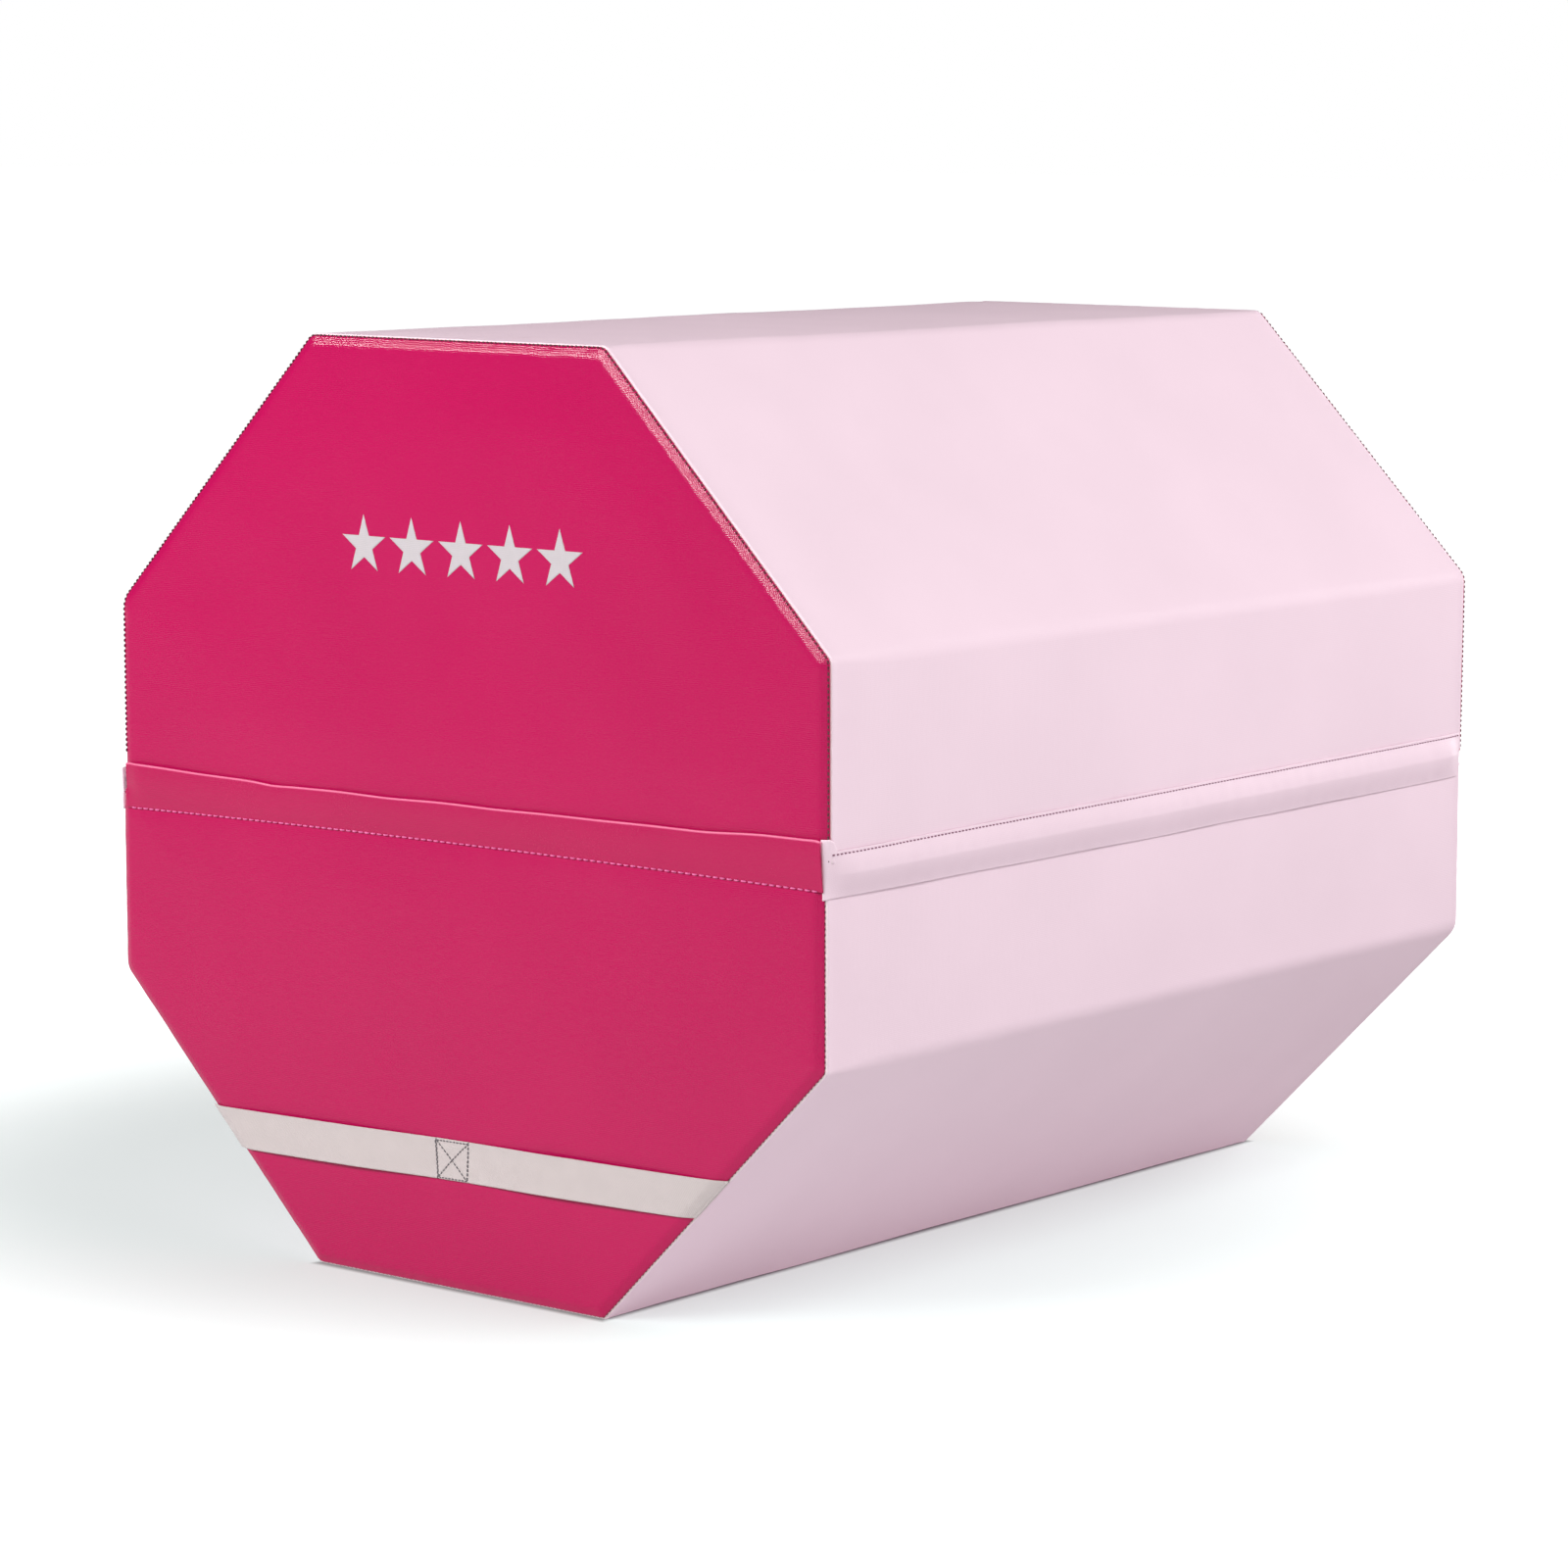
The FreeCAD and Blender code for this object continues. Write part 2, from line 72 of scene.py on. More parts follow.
X, Y, Z = 0, 1, 2
REACH = span("lower_wrap_cover", X)[1]
FRONT = -span("lower_front_end_panel", Y)[0]
PARTING = (span("lower_wrap_cover", Z)[1] + span("upper_wrap_cover", Z)[0]) / 2
FLAP_FOOT, FLAP_HEAD = span("front_flap", Z)
FLAP_REACH = span("front_flap", X)[1] + 2
SIDE_FLAP_REACH = span("left_flap", Y)[1]
TAPE_FOOT, TAPE_HEAD = span("front_hook_tape", Z)
STRIP_FOOT, STRIP_HEAD = span("hinge_strip", Z)
STRIP_REACH = span("hinge_strip", Y)[1] + 0.5
STRAP_FOOT, STRAP_HEAD = span("front_handle_strap", Z)
TACK_REACH = span("front_handle_box_stitch", X)[1]
ZIP_HEM = span("lower_inner_panel_right", X)[0]
COIL_REACH = span("lower_zip_coil_right", X)[1]
COIL_ENDS = span("lower_zip_coil_right", Y)
COIL_LEVELS = {half: span(f"{half}_zip_coil_right", Z) for half in ("lower", "upper")}

# ---- sizes of the cloth work ----

SKIN = 0.9                 # thickness of the coated cloth
FOLD = 17.0                # radius of a fold in the middle of the block
FOLD_RUN = 80.0            # the seams pull a fold tighter over this distance
# How far each half leans to the right where they meet, at the front and at the rear.
LEAN = {"lower": (-1.8, -1.8), "upper": (1.8, -1.2)}
SLANT_IN = {"lower": [1.0, 0.6], "upper": [0.0, 1.2]}   # the right and left slopes are pulled in
STRETCH = {"lower": 1.0, "upper": 1.0196}   # the upper half is filled out a little taller than its foam
STITCH = 3.7               # length of one stitch with its gap
THREAD_DEPTH = {"lower": 3.9, "upper": 2.45}   # how deep the end seams' threads lie behind the panel's face
CUT_GAP = {"outer": 0.3, "inner": 0.5}  # from the parting plane to the end panels and to the cut faces
PANEL_INSET = {"lower": 0.6, "upper": 0.0}   # the lower covers' piping shows outside their end panels

# Radius of each outer corner at the end seams, from the right wall round to the left one.
CORNERS = {
    "front": {"lower": [7.0, 5.0, 7.0, 13.0], "upper": [8.0, 8.0, 9.0, 17.0]},
    "rear": {"lower": [20.0, 9.0, 8.0, 13.0], "upper": [13.0, 9.0, 9.0, 17.0]},
}

# Section across a seam.  The wrap's side is (distance from the edge, drop below the flat), and the
# panel's side is (distance in from the edge, depth behind the panel's face).
WRAP_ROLL = np.array([
    (4.6, 3.2), (4.35, 2.3), (4.3, 1.4), (4.45, 0.5), (4.9, -0.2), (5.7, -0.5), (6.8, -0.45),
    (8.4, -0.2), (11.0, -0.05), (15.0, 0.0),
])
PANEL_ROLL = np.array([
    (2.6, 4.7), (1.5, 4.55), (0.7, 4.15), (0.4, 3.6), (0.55, 3.05), (1.15, 2.55), (2.2, 2.12),
    (3.4, 1.64), (4.6, 1.1), (5.8, 0.62), (7.2, 0.3), (9.2, 0.12), (12.2, 0.04), (19.0, 0.0),
])
ROLL_BROW = 3              # the row of the panel's roll that is furthest out
WRAP_MOST_DROP = 3.4       # where the rolls of two seams meet
CUT_MOST_DROP = 4.6
FLOOR_GAP = 0.02           # the block's lowest point above the floor
HEM_THREADS = (2.4, 10.2)  # the thread rows' distances from the edge of a hem
HEM_THREAD_ENDS = (-372, 372)
COIL_PITCH = 1.8
PANEL_CORE = 28.0          # the panel's middle is a plain grid this far in from its seam
# The cut face's hem beside the zip: (distance from the hem's edge, depth).
HEM_ROLL = np.array([
    (0.2, 1.9), (0.1, 1.2), (0.35, 0.55), (1.0, 0.15), (2.2, 0.0), (10.5, 0.0), (11.5, 0.12), (12.5, 0.3),
])
# Section of a touch tape: (share of its width, height above its back).
TAPE_OUTLINE = np.array([
    (0.0, 0.0), (0.0, 0.75), (0.06, 1.0), (0.5, 1.08), (0.94, 1.0), (1.0, 0.75), (1.0, 0.0), (0.5, -0.02),
])
# Section of a thread along its stitch: (share of the length, share of the radius, rise in radii).
THREAD_SECTION = [
    (-0.5, 0.45, -0.9), (-0.38, 0.9, -0.1), (0, 1.0, 0.35), (0.38, 0.9, -0.1), (0.5, 0.45, -0.9),
]
THREAD_SIDES = 6

# ---- meshes ----


def drift(u, v, wavelength, seed):
    """A smooth value of about -1 to 1 that wanders over a surface, the same on every run."""
    random = np.random.default_rng(seed)
    total = np.zeros(np.broadcast(u, v).shape)
    for _ in range(7):
        heading, phase = random.uniform(0, TURN, 2)
        number = TURN / (wavelength * random.uniform(0.7, 1.6))
        total += np.sin(number * (u * math.cos(heading) + v * math.sin(heading)) + phase)
    return total / 3.5


def ripple(along, wavelength, seed):
    """A drift along a line only."""
    return drift(along, 0 * along, wavelength, seed)


def ease(value, start, end):
    """0 before start, 1 after end, smooth between."""
    share = np.clip((value - start) / (end - start), 0, 1)
    return share * share * (3 - 2 * share)


def add_object(name, data):
    """A new object in the scene."""
    item = bpy.data.objects.new(name, data)
    bpy.context.scene.collection.objects.link(item)
    return item


def make_object(name, points, faces, material, cloth):
    """An object from points in millimetres. cloth is each point's place on the flat cloth."""
    mesh = bpy.data.meshes.new(name)
    mesh.from_pydata((points * MM).tolist(), [], faces)
    flat = np.zeros((len(points), 3), np.float32)
    flat[:, :2] = cloth * MM
    attribute = mesh.attributes.new("cloth", "FLOAT_VECTOR", "POINT")
    attribute.data.foreach_set("vector", flat.ravel())
    work = bmesh.new()
    work.from_mesh(mesh)
    bmesh.ops.recalc_face_normals(work, faces=work.faces)
    work.to_mesh(mesh)
    work.free()
    mesh.polygons.foreach_set("use_smooth", [True] * len(mesh.polygons))
    mesh.materials.append(material)
    return add_object(name, mesh)


def declare(piece, body, node=None):
    """Says which body a piece rides on and which CAD node it stands for, and hides that node."""
    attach(piece, body)
    if node:
        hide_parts(node)


def grid_quads(rows, columns, first=0, closed=False):
    """Quads of a grid whose points are numbered row by row.

    A closed grid joins its last column to its first.
    """
    numbers = first + np.arange(rows * columns).reshape(rows, columns)
    if closed:
        numbers = np.concatenate([numbers, numbers[:, :1]], axis=1)
    a, b, c, d = numbers[:-1, :-1], numbers[:-1, 1:], numbers[1:, 1:], numbers[1:, :-1]
    return np.stack([a, b, c, d], axis=-1).reshape(-1, 4).tolist()


def border(numbers):
    """The numbers round the edge of a grid of numbers, in order."""
    return np.concatenate([numbers[0, :-1], numbers[:-1, -1], numbers[-1, :0:-1], numbers[:0:-1, 0]])


def rim_quads(rim, count):
    """Quads that join the rim of a face to that of its back, whose points are numbered count higher."""
    return [[int(a), int(b), int(b + count), int(a + count)] for a, b in zip(rim, np.roll(rim, -1))]


def shell(name, points, cloth, material, inside):
    """A closed skin whose outer face is a grid of points. inside is a point that the back faces."""
    rows, columns = points.shape[:2]
    normal = np.cross(np.gradient(points, axis=0), np.gradient(points, axis=1))
    normal = normal / np.maximum(np.linalg.norm(normal, axis=2, keepdims=True), 1e-9)
    facing = np.sign(np.sum(normal * (points - np.asarray(inside)), axis=2).mean())
    back = points - normal * facing * SKIN
    count = rows * columns
    faces = grid_quads(rows, columns) + grid_quads(rows, columns, count)
    faces += rim_quads(border(np.arange(count).reshape(rows, columns)), count)
    flat = cloth.reshape(-1, 2)
    both = np.concatenate([points.reshape(-1, 3), back.reshape(-1, 3)])
    return make_object(name, both, faces, material, np.concatenate([flat, flat]))


def tube_faces(rows, columns):
    """Faces of a row of closed sections, with a flat cap at each end."""
    caps = [list(range(columns)), list(range((rows - 1) * columns, rows * columns))]
    return grid_quads(rows, columns, closed=True) + caps


def loft(name, sections, cloth, material):
    """A closed solid through a row of closed sections, with a flat cap at each end."""
    rows, columns = sections.shape[:2]
    faces = tube_faces(rows, columns)
    return make_object(name, sections.reshape(-1, 3), faces, material, cloth.reshape(-1, 2))


def flat_grid(along, across):
    """Places on the flat cloth of a grid, from the places of its rows and of its columns."""
    return np.stack(np.broadcast_arrays(along[:, None], across[None]), axis=-1)


def path_lengths(line):
    """How far along a line of points each of them is."""
    return np.concatenate([[0], np.cumsum(np.linalg.norm(np.diff(line, axis=0), axis=1))])


def stitches(name, places, runs, outs, material, length, radius):
    """Short round-backed threads. Each has a place, the way it runs and the way it stands out."""
    places, runs, outs = (np.asarray(v, float).reshape(-1, 3) for v in (places, runs, outs))
    runs = runs / np.linalg.norm(runs, axis=1, keepdims=True)
    sides = np.cross(outs, runs)
    sides /= np.linalg.norm(sides, axis=1, keepdims=True)
    outs = np.cross(runs, sides)
    template = []
    for along, size, rise in THREAD_SECTION:
        for k in range(THREAD_SIDES):
            angle = TURN * k / THREAD_SIDES
            side, out = size * radius * math.cos(angle), radius * (size * math.sin(angle) + rise)
            template.append((along * length, side, out))
    template = np.array(template)
    faces = tube_faces(len(THREAD_SECTION), THREAD_SIDES)
    points = places[:, None]
    for i, way in enumerate((runs, sides, outs)):
        points = points + template[None, :, i:i + 1] * way[:, None]
    every = [[i * len(template) + n for n in face] for i in range(len(places)) for face in faces]
    cloth = np.tile(template[:, :2], (len(places), 1))
    return make_object(name, points.reshape(-1, 3), every, material, cloth)


def walk(line, pitch):
    """Points spaced evenly along a line of points, and the way that the line runs at each."""
    far = path_lengths(line)

    def at(marks):
        return np.stack([np.interp(marks, far, line[:, i]) for i in range(3)], axis=1)

    marks = np.arange(pitch * 0.5, far[-1], pitch)
    return at(marks), at(marks + 0.4) - at(marks - 0.4)


def sew(name, line, outward, material, body, radius, pitch=STITCH, share=0.66):
    """A row of stitches along a line of points."""
    places, runs = walk(line, pitch)
    outs = np.broadcast_to(np.asarray(outward, float), places.shape)
    declare(stitches(name, places, runs, outs, material, pitch * share, radius), body)


# ---- materials ----


class Recipe:
    """A node material built up step by step."""

    def __init__(self, name):
        self.material = bpy.data.materials.new(name)
        self.material.use_nodes = True
        self.tree = self.material.node_tree
        self.shader = self.tree.nodes["Principled BSDF"]

    def node(self, kind, **inputs):
        item = self.tree.nodes.new("ShaderNode" + kind)
        for key, value in inputs.items():
            self.feed(item.inputs[key.replace("_", " ")], value)
        return item

    def feed(self, socket, value):
        if isinstance(value, bpy.types.NodeSocket):
            self.tree.links.new(value, socket)
        else:
            socket.default_value = value

    def math(self, operation, *values):
        item = self.tree.nodes.new("ShaderNodeMath")
        item.operation = operation
        for socket, value in zip(item.inputs, values):
            self.feed(socket, value)
        return item.outputs[0]

    def cloth(self):
        """Place on the flat cloth, in metres, as (u, v) sockets."""
        place = self.tree.nodes.new("ShaderNodeAttribute")
        place.attribute_name = "cloth"
        split = self.node("SeparateXYZ", Vector=place.outputs["Vector"])
        return split.outputs["X"], split.outputs["Y"]

    def place(self):
        return self.node("TexCoord").outputs["Object"]

    def noise(self, scale, detail=2.0, rough=0.5):
        item = self.node("TexNoise", Scale=scale, Detail=detail, Roughness=rough, Vector=self.place())
        return item.outputs["Fac"]

    def spread(self, value, low, high):
        """Maps the useful middle of a noise onto low to high."""
        item = self.node("MapRange", From_Min=0.3, From_Max=0.7, To_Min=low, To_Max=high)
        self.feed(item.inputs["Value"], value)
        return item.outputs["Result"]

    def tint(self, colour, factor):
        """A colour made lighter or darker by a factor socket."""
        item = self.tree.nodes.new("ShaderNodeVectorMath")
        item.operation = "SCALE"
        item.inputs[0].default_value = colour
        self.feed(item.inputs["Scale"], factor)
        return item.outputs["Vector"]

    def paint_highlight_band(self, coat, away, start, full, colour):
        """A coat that changes to another colour as a distance socket goes from start to full; it paints
        highlights along edges and folds.
        """
        share = self.node("MapRange", Value=away, From_Min=start * MM, From_Max=full * MM)
        mixed = self.node("MixRGB", Fac=share.outputs["Result"], Color1=coat, Color2=colour)
        return mixed.outputs["Color"]

    def waves(self, one, other):
        """The product of two waves, as 0 to 1."""
        return self.math("MULTIPLY_ADD", self.math("MULTIPLY", one, other), 0.5, 0.5)

    def lattice(self, u, v, pitch):
        """A diamond lattice of raised dots on the cloth, 0 to 1, that wanders a little."""
        number = TURN / (pitch * MM * math.sqrt(2))
        wander = self.spread(self.noise(160.0, 1.0), -0.9, 0.9)
        rising = self.math("MULTIPLY", self.math("ADD", u, v), number)
        falling = self.math("MULTIPLY", self.math("SUBTRACT", u, v), number)
        rising = self.math("SINE", self.math("ADD", rising, wander))
        falling = self.math("SINE", self.math("SUBTRACT", falling, wander))
        return self.waves(rising, falling)

    def bump(self, height, distance):
        item = self.node("Bump", Strength=1.0, Distance=distance, Height=height)
        last = self.shader.inputs["Normal"]
        if last.is_linked:
            self.feed(item.inputs["Normal"], last.links[0].from_socket)
        self.tree.links.new(item.outputs["Normal"], last)

    def done(self, **values):
        for key, value in values.items():
            self.feed(self.shader.inputs[key.replace("_", " ")], value)
        return self.material


def linear(red, green, blue):
    """A colour given as 0 to 255 screen values, as linear light."""
    parts = [v / 255 for v in (red, green, blue)]
    return tuple(p / 12.92 if p <= 0.04045 else ((p + 0.055) / 1.055) ** 2.4 for p in parts)


DOT_PITCH = 1.8             # between the dots embossed in the vinyl


def coated_cloth(name, colour, emboss, roughness, gloss=0.5, hem=None, crease=None):
    """Vinyl-coated cloth: a fine dotted emboss over a woven scrim, with soft rubbed patches.

    The coat carries painted highlights: pale at hem, the distance from the cloth's middle at which its
    turned edges begin, and in the colour of crease along a fold at the cloth's zero.
    """
    r = Recipe(name)
    u, v = r.cloth()
    dots = r.lattice(u, v, DOT_PITCH)
    grain = r.noise(900.0)
    shade = r.math("ADD", r.spread(r.noise(7.0), 0.98, 1.02), r.spread(dots, -0.01, 0.01))
    coat = r.tint(colour, shade)
    # Painted highlight: the cloth's turned edges are painted pale cream.
    if hem:
        away = r.math("ABSOLUTE", r.math("SUBTRACT", v, FRONT * MM))
        coat = r.paint_highlight_band(coat, away, hem, hem + 0.5, HEM_HIGHLIGHT)
    # Painted highlight: a pale pink line along the fold at the cloth's zero.
    if crease:
        coat = r.paint_highlight_band(coat, r.math("ABSOLUTE", v), 2.4, 1.5, crease)
    rubbed = r.math("ADD", r.spread(r.noise(12.0), -0.02, 0.03), roughness)
    rough = r.math("ADD", rubbed, r.spread(grain, -0.02, 0.02))
    r.bump(r.noise(14.0, 1.0), 0.0004)
    r.bump(dots, 0.00016 * emboss)
    r.bump(grain, 0.00003)
    return r.done(Base_Color=coat, Roughness=rough, Specular_IOR_Level=gloss, IOR=1.45)


def webbing(name, colour):
    """Woven tape: ribs across it and a plain weave between them."""
    r = Recipe(name)
    u, v = r.cloth()
    ribs = r.math("SINE", r.math("MULTIPLY", u, TURN / (1.5 * MM)))
    picks = r.math("SINE", r.math("MULTIPLY", v, TURN / (1.1 * MM)))
    weave = r.waves(ribs, picks)
    fuzz = r.noise(1500.0, 3.0)
    shade = r.math("ADD", r.spread(weave, 0.95, 1.03), r.spread(r.noise(60.0, 3.0), -0.02, 0.02))
    r.bump(weave, 0.00018)
    r.bump(fuzz, 0.00006)
    r.done(Base_Color=r.tint(colour, shade), Roughness=r.spread(fuzz, 0.72, 0.9))
    return r.done(Sheen_Weight=0.25, Sheen_Roughness=0.5, Specular_IOR_Level=0.3)


def thread(name, colour):
    """Bonded thread: a slanting twist along each stitch."""
    r = Recipe(name)
    u, v = r.cloth()
    twist = r.math("SINE", r.math("MULTIPLY", r.math("ADD", u, v), TURN / (0.7 * MM)))
    r.bump(twist, 0.00008)
    coat = r.tint(colour, r.spread(twist, 0.85, 1.05))
    rough = r.spread(r.noise(700.0), 0.45, 0.65)
    return r.done(Base_Color=coat, Roughness=rough, Sheen_Weight=0.2, Specular_IOR_Level=0.4)


def pile(name, colour, scale, depth, roughness):
    """The working face of hook or loop tape: a close pile of tiny bristles or loops."""
    r = Recipe(name)
    tufts = r.node("TexVoronoi", Scale=scale, Vector=r.place()).outputs["Distance"]
    fluff = r.noise(scale * 0.8, 4.0)
    shade = r.math("ADD", r.spread(tufts, 1.05, 0.82), r.spread(fluff, -0.05, 0.05))
    r.done(Base_Color=r.tint(colour, shade), Roughness=r.spread(fluff, roughness - 0.08, roughness + 0.08))
    r.bump(tufts, -depth)
    r.bump(fluff, depth / 3)
    return r.done(Sheen_Weight=0.35, Specular_IOR_Level=0.3)


def foam(name, colour):
    """Cut closed-cell foam: small bright cells with darker walls."""
    r = Recipe(name)
    edge = r.node("TexVoronoi", Scale=420.0, Vector=r.place()).outputs["Distance"]
    coat, rough = r.tint(colour, r.spread(edge, 1.02, 0.9)), r.spread(r.noise(300.0), 0.7, 0.85)
    r.bump(edge, 0.0004)
    return r.done(Base_Color=coat, Roughness=rough, Subsurface_Weight=0.1, Subsurface_Scale=0.004)


def nylon(name, colour):
    """Moulded or coiled nylon, a little waxy."""
    r = Recipe(name)
    marks = r.noise(500.0, 3.0)
    r.done(Base_Color=r.tint(colour, r.spread(marks, 0.95, 1.03)), Roughness=r.spread(marks, 0.32, 0.45))
    r.bump(marks, 0.00004)
    return r.done(Subsurface_Weight=0.05, Subsurface_Scale=0.001)


def enamel(name, colour):
    """Painted die-cast metal with fine orange peel and scuffed high spots."""
    r = Recipe(name)
    scuffs = r.noise(240.0, 5.0, 0.7)
    r.done(Base_Color=r.tint(colour, r.spread(scuffs, 0.9, 1.04)), Roughness=r.spread(scuffs, 0.22, 0.4))
    r.bump(r.noise(1800.0), 0.00003)
    return r.done(Metallic=0.35, Coat_Weight=0.4, Coat_Roughness=0.15)


def ink(name, colour):
    """Screen-printed ink: even, slightly chalky, thinner over the cloth's emboss."""
    r = Recipe(name)
    u, v = r.cloth()
    dots = r.lattice(u, v, DOT_PITCH)
    chalk = r.noise(300.0, 4.0)
    shade = r.math("ADD", r.spread(dots, 0.985, 1.01), r.spread(chalk, -0.02, 0.015))
    r.done(Base_Color=r.tint(colour, shade), Roughness=r.spread(chalk, 0.5, 0.62))
    r.bump(dots, 0.0001)
    return r.done(Specular_IOR_Level=0.4)


# Painted highlight colour on the wrap's rolled edge at the end seams.
HEM_HIGHLIGHT = (*linear(255, 240, 240), 1)
# Painted highlight colour along the end flaps' folded head.
FOLD_HIGHLIGHT = (*linear(238, 120, 158), 1)
PINK = coated_cloth("pale_pink_vinyl", linear(243, 217, 229), 0.3, 0.44)
# The wrap's turned edges carry a painted highlight.
WRAP = coated_cloth("wrap_vinyl", linear(243, 217, 229), 0.3, 0.44, hem=FRONT - 5.0)
MAGENTA = coated_cloth("magenta_vinyl", linear(182, 14, 82), 0.5, 0.17, gloss=0.4)
FLAP = coated_cloth("flap_vinyl", linear(180, 16, 80), 0.6, 0.24, gloss=0.4, crease=FOLD_HIGHLIGHT)
WEB = webbing("strap_webbing", linear(203, 193, 191))
ZIP_TAPE = webbing("zip_tape_weave", linear(236, 226, 230))
ROSE_THREAD = thread("rose_thread", linear(255, 118, 186))
DARK_THREAD = thread("crimson_thread", linear(88, 8, 34))
MAUVE_THREAD = thread("mauve_thread", linear(150, 98, 122))
PINK_THREAD = thread("pale_pink_thread", linear(236, 206, 220))
GREY_THREAD = thread("grey_thread", linear(118, 113, 116))
HOOK = pile("hook_pile", linear(222, 214, 218), 1100.0, 0.0005, 0.5)
LOOP = pile("loop_pile", linear(232, 222, 228), 700.0, 0.0004, 0.85)
FOAM = foam("white_foam", linear(236, 236, 232))
NYLON = nylon("nylon_coil", linear(238, 232, 234))
ENAMEL = enamel("zip_enamel", linear(224, 218, 222))
INK = ink("white_ink", linear(192, 185, 188))
INNER = coated_cloth("inner_vinyl", linear(236, 212, 222), 0.35, 0.46)

# ---- shape of one half ----

HALVES = {"lower": -1, "upper": 1}
ENDS = {"front": 1, "rear": -1}
SIDES = {"left": -1, "right": 1}
INSIDE = {half: (0.0, 0.0, PARTING + sign * REACH / 2) for half, sign in HALVES.items()}
FACING = [math.radians(a) for a in (-90, 0, 45, 90, 135, 180, 270)]
CORNER = REACH * (math.sqrt(2) - 1)      # from the parting plane or the middle to a corner
ARC = 9
CUT_COUNT, WALL_COUNT, SLANT_COUNT = 118, 26, 48
COUNTS = [CUT_COUNT, WALL_COUNT, SLANT_COUNT, CUT_COUNT, SLANT_COUNT, WALL_COUNT]
SLOPE_RUN = 2 * CORNER
HALF_GIRTH = 2 * CORNER + SLOPE_RUN


def sway(half, h, y):
    """How far a half leans sideways at a distance from the parting plane and a place along the block."""
    front, rear = LEAN[half]
    return (front + (rear - front) * (y + FRONT) / (2 * FRONT)) * (1 - h / REACH)


def level(half, h):
    """Height above the floor at a distance from the parting plane."""
    return PARTING + HALVES[half] * STRETCH[half] * h


def slope_reach(half, x):
    """Distance of the right or left sloping flat from the middle."""
    right, left = SLANT_IN[half]
    return REACH - np.where(np.asarray(x) > 0, right, left)


def octagon_ring(half, inset, radii):
    """A closed ring of (x, h) round half the octagon, inset all round, with its corners rounded.

    radii are those of the six corners, from the right end of the cut edge round to its left end,
    and the ring starts in the middle of the last of them.
    """
    right, left = slope_reach(half, [1, -1])
    gap = CUT_GAP["outer"]
    offsets = [-gap, REACH, right, REACH, left, REACH, -gap]
    arcs = []
    for i, radius in enumerate(radii):
        a, b = FACING[i], FACING[i + 1]
        normals = np.array([[math.cos(a), math.sin(a)], [math.cos(b), math.sin(b)]])
        middle = np.linalg.solve(normals, [offsets[i] - inset - radius, offsets[i + 1] - inset - radius])
        turn = np.linspace(a, b, ARC)
        arcs.append(middle + radius * np.stack([np.cos(turn), np.sin(turn)], axis=1))
    ring = [arcs[-1][ARC // 2:]]
    previous = arcs[-1][-1]
    for arc, count in zip(arcs, COUNTS):
        share = np.linspace(0, 1, count + 2)[1:-1, None]
        ring.append(previous + (arc[0] - previous) * share)
        ring.append(arc)
        previous = arc[-1]
    return np.concatenate(ring)[: -(ARC // 2 + 1)]


def outline_distance(half, x, h):
    """How far a point of an end face is inside the outline, cut edge included."""
    slope = slope_reach(half, x) - (np.abs(x) + h) / math.sqrt(2)
    return np.minimum.reduce([REACH - np.abs(x), REACH - h, slope, h - CUT_GAP["outer"]])


def flap_row(along):
    """Height of the thread row at the foot of an end flap, which rises towards the middle."""
    crest, crest_run = 110, 415
    return FLAP_FOOT + 6.6 - 4.6 * ((along - crest) / crest_run) ** 2 - 0.0018 * along


def flap_head(along):
    """Height of an end flap's folded top edge: a shallow V, dented near its lowest place, with one end up."""
    lowest, dented, lift_start, lift_end = -155, -165, 215, 275
    dent = 0.8 * np.exp(-(((along - dented) / 14) ** 2))
    rise = 0.0145 * np.hypot(along - lowest, 25) - 0.0045 * along
    lift = 1.8 * ease(along, lift_start, lift_end)
    return FLAP_HEAD - 1.1 + rise - dent + lift + 0.25 * ripple(along, 70, 3)


def face_swell(half, end, x, h):
    """How far an end panel stands out from its plane between its seams."""
    seed = 11 + (half == "upper") + 40 * (end == "rear")
    inner = ease(outline_distance(half, x, h), 4, 60)
    swell = 0.5 * inner + inner * (0.45 * drift(x, h, 210, seed) + 0.22 * drift(x, h, 90, seed + 20))
    if half == "lower":
        # The flap is sewn on along its foot: the panel dips there, and lies lower behind the flap.
        foot = PARTING - flap_row(x)
        row = np.exp(-(((h - foot) / 3.0) ** 2))
        swell = swell - 0.3 * row - 0.6 * ease(-h, -foot, -foot + 5)
        swell = swell - 0.22 * np.exp(-np.abs(h - foot) / 5) * ripple(x, 16, seed + 30)
    return swell


def side_place(side, along, out, z):
    """Points on an upright side, from places along it, out from it and up."""
    along, out, z = np.broadcast_arrays(along, out, z)
    spots = {
        "front": (along, -(FRONT + out), z),
        "rear": (-along, FRONT + out, z),
        "left": (-(REACH + out), -along, z),
    }
    return np.stack(spots[side], axis=-1).astype(float)


OUTWARD = {"front": (0, -1, 0), "rear": (0, 1, 0), "left": (-1, 0, 0)}


def wrap_swell(half, girth, station):
    """How far a wrap stands out from its flats. girth starts in the middle of the outermost flat."""
    from_end = np.minimum(station, 2 * FRONT - station)
    seed = 61 if half == "upper" else 71
    quiet = ease(from_end, 3, 40)
    across = np.abs(np.abs(girth) - CORNER - SLOPE_RUN / 2) - SLOPE_RUN / 2
    crown = ease(np.abs(across), 0, 60)
    waves = 0.35 * drift(girth, station, 230, seed) + 0.18 * drift(girth, station, 95, seed + 1)
    broad = 0.45 + 0.7 * crown + waves
    gather = 0.16 * np.exp(-from_end / 9) * ripple(girth, 15, seed + 2)
    from_cut = HALF_GIRTH - np.abs(girth)
    dimple = 0.2 * np.exp(-from_cut / 14) * ripple(station, 19, seed + 3)
    return quiet * (broad + dimple) + gather


